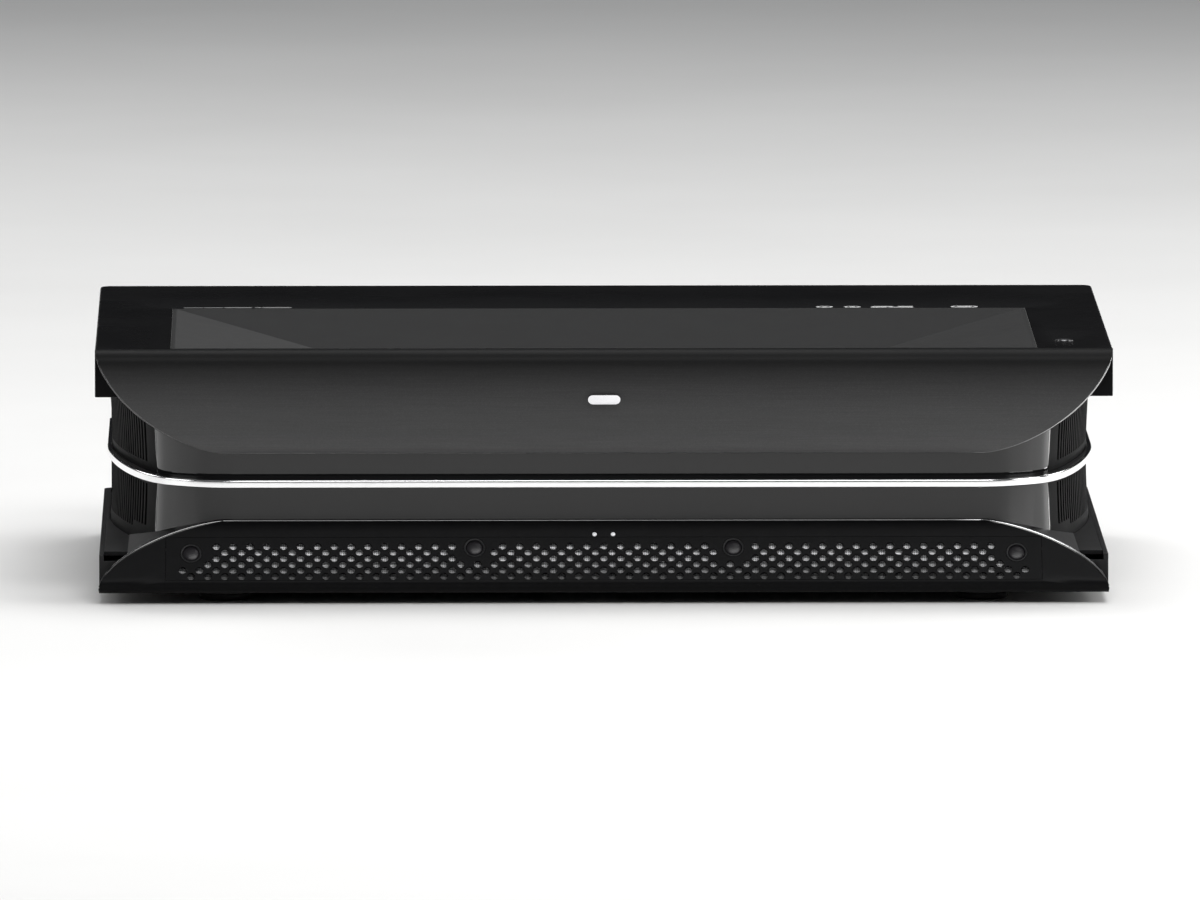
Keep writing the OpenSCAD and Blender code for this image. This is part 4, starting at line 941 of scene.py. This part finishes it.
bm = bmesh.new()
fil = 1.3
rows = []
for a in np.linspace(0, math.pi / 2, 6):
    rows.append(deck_ring(fil * (1 - math.sin(a)), 0.5 * (1 - math.sin(a)), H - fil * (1 - math.cos(a)) * 1.0, 6))
for z in (H - 4, H - 12, DECK_Z0 + 0.5):
    rows.append(deck_ring(0, 0, z, 6))
rows.append(deck_ring(0.15, 0.15, DECK_Z0 + 0.15, 6))
rows.append(deck_ring(0.5, 0.5, DECK_Z0, 6))
rows.append(deck_ring(2.0, 2.0, DECK_Z0, 6))
rows.append(deck_ring(2.5, 2.5, DECK_Z0 + 0.5, 6))
rows.append(deck_ring(2.5, 2.5, H - 3, 6))
vsd = grid_faces(bm, rows, wrap=True)


def ring_edges(bm, vs):
    out = []
    for a, b in zip(vs, vs[1:] + vs[:1]):
        e = bm.edges.get((a, b)) or bm.edges.new((a, b))
        out.append(e)
    return out


def fill_flat(bm, loops):
    es = []
    for l in loops:
        es += ring_edges(bm, l)
    return bmesh.ops.triangle_fill(bm, use_beauty=True, edges=es)


def rect_loop(bm, x0, x1, y0, y1, z, r=1.0, n=5, seg=8):
    pts = []
    for cx, cy, a0 in ((x1 - r, y0 + r, -90), (x1 - r, y1 - r, 0), (x0 + r, y1 - r, 90), (x0 + r, y0 + r, 180)):
        pts += [(cx + r * math.cos(math.radians(a)), cy + r * math.sin(math.radians(a)), z) for a in np.linspace(a0, a0 + 90, n)]
    return [bm.verts.new(p) for p in pts]


def circle_loop(bm, cx, cy, r, z, n=48):
    return [bm.verts.new((cx + r * math.cos(2 * math.pi * k / n), cy + r * math.sin(2 * math.pi * k / n), z)) for k in range(n)]


g = 0.1
wx0, wx1, wy0, wy1 = WELL_LO[0] - g, WELL_HI[0] + g, WELL_LO[1] - g, WELL_HI[1] + g
well_rings = []
for dz, dg in ((0, 0.5), (0.15, 0.15), (0.5, 0.0), (3.0, 0.0)):
    well_rings.append(rect_loop(bm, wx0 - dg, wx1 + dg, wy0 - dg, wy1 + dg, H - dz, r=1.0 + dg))
but_rings = []
for dz, dg in ((0, 0.6), (0.18, 0.18), (0.6, 0.0), (3.0, 0.0)):
    but_rings.append(circle_loop(bm, BTX, BTY, 5.15 + dg, H - dz))
for rings in (well_rings, but_rings):
    for a, b in zip(rings, rings[1:]):
        for k in range(len(a)):
            j = (k + 1) % len(a)
            bm.faces.new([a[k], a[j], b[j], b[k]])
fill_flat(bm, [vsd[0], well_rings[0], but_rings[0]])
fill_flat(bm, [vsd[-1], well_rings[-1], but_rings[-1]])
finish_piece("top_deck_cover", bm, "deck", "top_deck", smooth=30)

# lining of the well and its window
refine("well_liner", bevel=0.45, angle=6.0, segs=3)
bm = bmesh.new()
wl = Matrix.Translation(Vector((0, -127, 117))) @ Matrix.Rotation(math.radians(-18.435), 4, "X")


def rounded_slab(bm, m4, hx, hy, z0, z1, r, f=0.4, n=8):
    def loop(o, z):
        pts = []
        for cx, cy, a0 in ((hx - r, -(hy - r), -90), (hx - r, hy - r, 0), (-(hx - r), hy - r, 90), (-(hx - r), -(hy - r), 180)):
            rr_ = max(r - o, 0.05)
            pts += [m4 @ Vector((cx + rr_ * math.cos(math.radians(a)), cy + rr_ * math.sin(math.radians(a)), z)) for a in np.linspace(a0, a0 + 90, n)]
        return [bm.verts.new(p) for p in pts]
    rings = [loop(f, z0), loop(f * 0.3, z0 + f * 0.3), loop(0, z0 + f), loop(0, z1 - f), loop(f * 0.3, z1 - f * 0.3), loop(f, z1)]
    for a, b in zip(rings, rings[1:]):
        for k in range(len(a)):
            j = (k + 1) % len(a)
            bm.faces.new([a[k], a[j], b[j], b[k]])
    bm.faces.new(rings[0][::-1])
    bm.faces.new(rings[-1])


rounded_slab(bm, wl, 74, 26.5, -5.4, -2.8, 2.0)
finish_piece("window_glass_pane", bm, "window", "window_glass", smooth=40)
# a slim gasket frame round the window, just proud of the lining
bm = bmesh.new()


def frame_ring(bm, m4, hx, hy, w, z0, z1, r):
    def loop(o, z):
        a_, b_ = hx + o, hy + o
        rr_ = max(r + o, 0.2)
        pts = []
        for cx, cy, a0 in ((a_ - rr_, -(b_ - rr_), -90), (a_ - rr_, b_ - rr_, 0), (-(a_ - rr_), b_ - rr_, 90), (-(a_ - rr_), -(b_ - rr_), 180)):
            pts += [m4 @ Vector((cx + rr_ * math.cos(math.radians(t)), cy + rr_ * math.sin(math.radians(t)), z)) for t in np.linspace(a0, a0 + 90, 8)]
        return [bm.verts.new(p) for p in pts]
    prof = [(0, z0), (0, z1 - 0.4), (0.15, z1 - 0.1), (0.45, z1), (w - 0.6, z1), (w - 0.2, z1 - 0.15), (w, z1 - 0.5), (w, z0)]
    rings = [loop(o, z) for o, z in prof]
    rings.append(rings[0])
    for a, b in zip(rings, rings[1:]):
        for k in range(len(a)):
            j = (k + 1) % len(a)
            bm.faces.new([a[k], a[j], b[j], b[k]])


frame_ring(bm, wl, 67.5, 20.5, 2.45, -2.75, 0.35, 2.0)
finish_piece("window_gasket", bm, "rubber", None, body="casing", smooth=40)

# ================================================================= small front pieces
V0 = Vector((0, -170.19, 13.4))
fr = Matrix.Translation(V0) @ Matrix.Rotation(math.radians(54.55), 4, "X")
SENS = [(-222.5, 16.4), (-69.7, 19.7), (69.7, 19.7), (222.5, 16.4)]
bm = bmesh.new()
bm2 = bmesh.new()
for x, v in SENS:
    m4 = fr @ Matrix.Translation(Vector((x, v, 0)))
    dome = [(4.55 * math.sin(t), -0.6 + 1.0 * math.cos(t)) for t in np.linspace(math.pi / 2, 0, 12)]
    lathe(bm, [(0.0, -7.0), (4.3, -7.0), (4.55, -6.7)] + dome[:-1] + [(0.0, 0.4)], m4)
    lathe(bm2, [(4.6, -5.0), (4.6, -0.1), (4.75, 0.25), (5.05, 0.42), (5.4, 0.38), (5.65, 0.1), (5.7, -0.4), (5.7, -5.0), (4.6, -5.0)], m4)
finish_piece("sensor_domes", bm, "sensor", "sensor_lenses", smooth=40)
o = finish_piece("sensor_bezels", bm2, "sensor_ring", None, body="casing", smooth=40)

bm = bmesh.new()
for s in (-1, 1):
    m4 = fr @ Matrix.Translation(Vector((5 * s, 28, 0)))
    lathe(bm, [(0.0, -5.0), (1.25, -5.0), (1.25, 0.0), (1.12, 0.3), (0.8, 0.46), (0.4, 0.5), (0.0, 0.52)], m4, n=32)
finish_piece("status_light_pipes", bm, "light", "status_lights", smooth=40)

# plain pill badge
bm = bmesh.new()
bl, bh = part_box("fascia_badge")
m4 = Matrix.Translation(Vector((0, -D + 1.67, 111.4))) @ Matrix.Rotation(math.radians(107.6), 4, "X")


def pill(bm, m4, hx, r, z0, z1, f=0.3, n=16, base=True):
    def loop(o, z):
        rr_ = r - o
        pts = [m4 @ Vector((hx + rr_ * math.cos(a), rr_ * math.sin(a), z)) for a in np.linspace(-math.pi / 2, math.pi / 2, n)]
        pts += [m4 @ Vector((-hx + rr_ * math.cos(a), rr_ * math.sin(a), z)) for a in np.linspace(math.pi / 2, 3 * math.pi / 2, n)]
        return [bm.verts.new(p) for p in pts]
    rings = [loop(0, z0), loop(0, z1 - f), loop(f * 0.3, z1 - f * 0.3), loop(f, z1)]
    for a, b in zip(rings, rings[1:]):
        for k in range(len(a)):
            j = (k + 1) % len(a)
            bm.faces.new([a[k], a[j], b[j], b[k]])
    bm.faces.new(rings[0][::-1])
    bm.faces.new(rings[-1])


pill(bm, m4, 6.0, 2.8, 0.0, 0.9)
finish_piece("fascia_badge_plain", bm, "badge", "fascia_badge", smooth=40)

# power button with a shallow dished top and a plain ring
bm = bmesh.new()
zt = BT_HI[2]
m4 = Matrix.Translation(Vector((BTX, BTY, 0)))
lathe(bm, [(0.0, zt - 0.45), (1.5, zt - 0.43), (2.6, zt - 0.36), (2.75, zt - 0.5), (3.1, zt - 0.5), (3.25, zt - 0.28), (4.3, zt - 0.05), (4.6, zt), (4.85, zt - 0.08), (5.0, zt - 0.35),
           (5.0, H - 3.4), (6.0, H - 3.4), (6.1, H - 3.5), (6.1, H - 4.9), (6.0, H - 5.0), (2.5, H - 5.0), (2.5, H - 8.1), (2.4, H - 8.2), (0.0, H - 8.2)], m4, n=72)
finish_piece("power_button_cap", bm, "button", "power_button", smooth=35)

# printed marks on the rear rim: plain bars and dots
bm = bmesh.new()


def flat_pill(bm, x, y, hx, r, z):
    pill(bm, Matrix.Translation(Vector((x, y, z))), hx, r, 0.0, 0.05, f=0.015, n=10)


rim = WELL_HI[1]
for x, w, r_, dy in ((-222, 4.2, 1.3, 5), (-211, 4.0, 1.5, 5), (-197.5, 5.6, 2.2, 5.5), (-186.5, 0.2, 2.0, 5.5), (-176.5, 6.0, 2.4, 5.5)):
    flat_pill(bm, x, rim + dy, w, r_, H + 0.003)
finish_piece("rim_marks_left", bm, "ink_dim", None, body="casing", smooth=40)
bm = bmesh.new()


def flat_ring(bm, x, y, hx, r, w, z):
    """A raised outline of a rounded bar."""
    def loop(q, zz):
        pts = [(x + hx + q * math.cos(a), y + q * math.sin(a), zz) for a in np.linspace(-math.pi / 2, math.pi / 2, 14)]
        pts += [(x - hx + q * math.cos(a), y + q * math.sin(a), zz) for a in np.linspace(math.pi / 2, 3 * math.pi / 2, 14)]
        return [bm.verts.new(p) for p in pts]
    rings = [loop(r, z), loop(r, z + 0.05), loop(r - w, z + 0.05), loop(r - w, z)]
    rings.append(rings[0])
    for a, b in zip(rings, rings[1:]):
        for k in range(len(a)):
            j = (k + 1) % len(a)
            bm.faces.new([a[k], a[j], b[j], b[k]])


for x, hx, q in ((123.7, 0.4, 4.2), (139.0, 0.6, 3.9)):
    flat_ring(bm, x, rim + 5.8, hx, q, 1.3, H + 0.003)
    flat_pill(bm, x, rim + 5.8, max(hx - 0.4, 0.1), 1.4, H + 0.003)
for x, w, dy in ((153.5, 3.2, 3.6), (165.5, 5.6, 3.6), (155.5, 4.6, 7.8), (168, 3.0, 7.8)):
    flat_pill(bm, x, rim + dy, w, 1.4, H + 0.003)
flat_ring(bm, 200.3, rim + 6.0, 3.0, 4.4, 1.5, H + 0.003)
flat_pill(bm, 200.3, rim + 6.0, 2.6, 1.6, H + 0.003)
finish_piece("rim_marks_right", bm, "ink", None, body="casing", smooth=40)

# pale dot in the middle of the power button
bm = bmesh.new()
lathe(bm, [(0.0, zt - 0.7), (1.45, zt - 0.7), (1.45, zt - 0.42), (1.3, zt - 0.36), (0.0, zt - 0.34)], Matrix.Translation(Vector((BTX, BTY, 0))), n=40)
finish_piece("power_button_dot", bm, "light", None, body="button", smooth=35)

# ================================================================= feet
for k, (s, t) in {"front_left": (-1, -1), "front_right": (1, -1), "rear_left": (-1, 1), "rear_right": (1, 1)}.items():
    lo, hi = box_mm("foot_pad_" + k)
    cx, cy, R = (lo[0] + hi[0]) / 2, (lo[1] + hi[1]) / 2, (hi[0] - lo[0]) / 2
    m4 = Matrix.Translation(Vector((cx, cy, 0)))
    bm = bmesh.new()
    prof = [(0.0, 0.35), (3.0, 0.35), (3.2, 0.0), (5.6, 0.0), (5.9, 0.45), (6.7, 0.45), (7.0, 0.0), (8.9, 0.0), (9.2, 0.45), (10.0, 0.45), (10.3, 0.0), (R - 1.6, 0.0),
            (R - 0.9, 0.25), (R - 0.35, 0.8), (R, 1.3), (R, 3.1), (R - 0.15, 3.32), (R - 0.5, 3.4), (2.75, 3.4), (2.55, 3.2), (2.55, 1.45), (0.0, 1.4)]
    lathe(bm, prof, m4, n=96)
    finish_piece("foot_rubber_" + k, bm, "rubber", "foot_pad_" + k, smooth=35)
    lo, hi = box_mm("foot_screw_" + k)
    R = (hi[0] - lo[0]) / 2
    bm = bmesh.new()
    n, rings = 240, []

    def knurl(a, r_):
        return r_ - 0.55 * max(0.0, math.cos(24 * a)) ** 2.2

    for r_, z, kn in ((2.2, lo[2], 0), (2.5, lo[2] + 0.3, 0), (2.5, 3.7, 0), (R - 0.7, 3.7, 1), (R - 0.1, 3.95, 1), (R, 4.3, 1), (R, 5.1, 1), (R - 0.1, 5.45, 1), (R - 0.7, 5.7, 1), (3.6, 5.7, 0), (3.0, 5.9, 0), (3.0, hi[2] - 0.6, 0), (2.5, hi[2], 0)):
        rings.append([(cx + (knurl(2 * math.pi * j / n, r_) if kn else r_) * math.cos(2 * math.pi * j / n), cy + (knurl(2 * math.pi * j / n, r_) if kn else r_) * math.sin(2 * math.pi * j / n), z) for j in range(n)])
    vsf = grid_faces(bm, rings, wrap=True)
    bm.faces.new(vsf[0][::-1])
    bm.faces.new(vsf[-1])
    finish_piece("foot_thumbwheel_" + k, bm, "foot", "foot_screw_" + k, smooth=35)

# ================================================================= casing parts whose CAD shape is right: edges rounded over
refine("base_shell", bevel=0.4, segs=2)
refine("rear_panel", bevel=0.35, segs=2)
refine("io_plate", bevel=0.3, segs=2)
refine("ac_inlet", bevel=0.4, segs=2)
refine("corner_ledges", bevel=0.3, segs=2, angle=40)
for n in ("hdmi_ports", "usb_ports", "lan_port", "inlet_pins"):
    refine(n, bevel=0.12, segs=2)
refine("audio_ports", bevel=0.2, segs=2)
refine("mirror_bracket", bevel=0.4)
refine("lens_mount", bevel=0.4)
refine("engine_housing", bevel=0.6)
refine("laser_bank", bevel=0.3)
refine("speakers", bevel=0.8)
refine("fan_frames", bevel=0.4, split=True)

# contact wires in the network socket
bm = bmesh.new()
llo, lhi = box_mm("lan_port")
for i in range(8):
    x = (llo[0] + lhi[0]) / 2 - 3.57 + i * 1.02
    m4 = Matrix.Translation(Vector((x, lhi[1] - 8.5, llo[2] + 2.2))) @ Matrix.Rotation(math.radians(-118), 4, "X")
    lathe(bm, [(0.0, 0.0), (0.22, 0.1), (0.22, 4.4), (0.0, 4.5)], m4, n=10)
finish_piece("network_contacts", bm, "gold", None, body="casing", smooth=50)

# printed marks over the sockets: plain bars
bm = bmesh.new()
ilo, ihi = box_mm("io_plate")
mk = [(-92, 4.0), (-68, 3.0), (-48, 3.0), (-24, 3.6), (-3, 3.6), (18, 3.6), (38, 2.4), (55, 2.4)]
for x, w in mk:
    m4 = Matrix.Translation(Vector((x, 152.0, ihi[2] - 3.6))) @ Matrix.Rotation(math.radians(-90), 4, "X")
    pill(bm, m4, w, 0.55, 0.0, 0.06, f=0.02, n=8)
finish_piece("socket_marks", bm, "ink", None, body="casing", smooth=40)

# ================================================================= stage, lights and camera


def area(name, size, loc, target, power, size_y=None, col=(1, 1, 1)):
    l = bpy.data.lights.new(name, "AREA")
    l.shape = "RECTANGLE"
    l.size, l.size_y = size, size_y or size
    l.energy, l.color = power, col
    o = bpy.data.objects.new(name, l)
    o.location = loc
    o.rotation_euler = (Vector(target) - Vector(loc)).to_track_quat("-Z", "Y").to_euler()
    bpy.context.scene.collection.objects.link(o)
    return o


bm = bmesh.new()
grid_faces(bm, [[(x, y, 0.0) for x in (-20, 20)] for y in (-16, 24)], flip=False)
me = bpy.data.meshes.new("floor")
bm.to_mesh(me)
bm.free()
floor = bpy.data.objects.new("floor", me)
bpy.context.scene.collection.objects.link(floor)
m, nt, b = new_mat("floor_pale")
co = put(nt, "ShaderNodeTexCoord").outputs["Object"]
nt.links.new(mix_rgb(nt, remap(nt, noise(nt, co, 3.0, 3.0), 0.3, 0.7), (0.79, 0.785, 0.775), (0.82, 0.815, 0.805)), b.inputs["Base Color"])
b.inputs["Roughness"].default_value = 0.6
b.inputs["Specular IOR Level"].default_value = 0.2
me.materials.append(m)
floor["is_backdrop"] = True

world = bpy.data.worlds.new("studio")
world.use_nodes = True
wn = world.node_tree
sky = wn.nodes["Background"]
wc = put(wn, "ShaderNodeTexCoord").outputs["Generated"]
ws = put(wn, "ShaderNodeSeparateXYZ")
wn.links.new(wc, ws.inputs[0])
wn.links.new(mix_rgb(wn, remap(wn, ws.outputs["Z"], 0.30, 0.95), (0.010, 0.010, 0.011), (0.34, 0.35, 0.36)), sky.inputs["Color"])
sky.inputs["Strength"].default_value = 1.0
bpy.context.scene.world = world
bpy.context.scene.view_settings.view_transform = "Standard"
area("top_soft", 2.4, (0.25, 0.35, 2.3), (0.0, 0.10, 0.05), 40, 1.4)
area("front_high", 1.7, (0.35, -1.95, 2.05), (0.0, -0.15, 0.03), 34, 0.9)
area("right_soft", 1.6, (2.2, -0.45, 0.75), (0.2, 0.0, 0.08), 30, 1.2)
area("left_soft", 1.6, (-2.2, -0.45, 0.75), (-0.2, 0.0, 0.08), 14, 1.2)
area("right_edge", 0.5, (2.2, 1.65, 0.55), (0.2, 0.0, 0.08), 12, 1.0)
area("left_rear", 1.2, (-1.6, 2.6, 1.4), (-0.1, 0.1, 0.08), 15, 0.9)
area("right_rear", 1.2, (1.6, 2.6, 1.4), (0.1, 0.1, 0.08), 13, 0.9)

lo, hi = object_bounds()
cx, cy, cz = (lo.x + hi.x) / 2, (lo.y + hi.y) / 2, (lo.z + hi.z) / 2
cam_d = bpy.data.cameras.new("camera")
cam = bpy.data.objects.new("camera", cam_d)
bpy.context.scene.collection.objects.link(cam)
az, el, dist = math.radians(-0.75), math.radians(6.2), 12.3
target = Vector((cx, cy, cz - 0.004))
cam.location = target + dist * Vector((math.sin(az) * math.cos(el), -math.cos(az) * math.cos(el), math.sin(el)))
cam.rotation_euler = (target - cam.location).to_track_quat("-Z", "Y").to_euler()
cam_d.sensor_width = 36
cam_d.lens = 36 / (0.655 / dist)
cam_d.clip_end = 200
bpy.context.scene.camera = cam
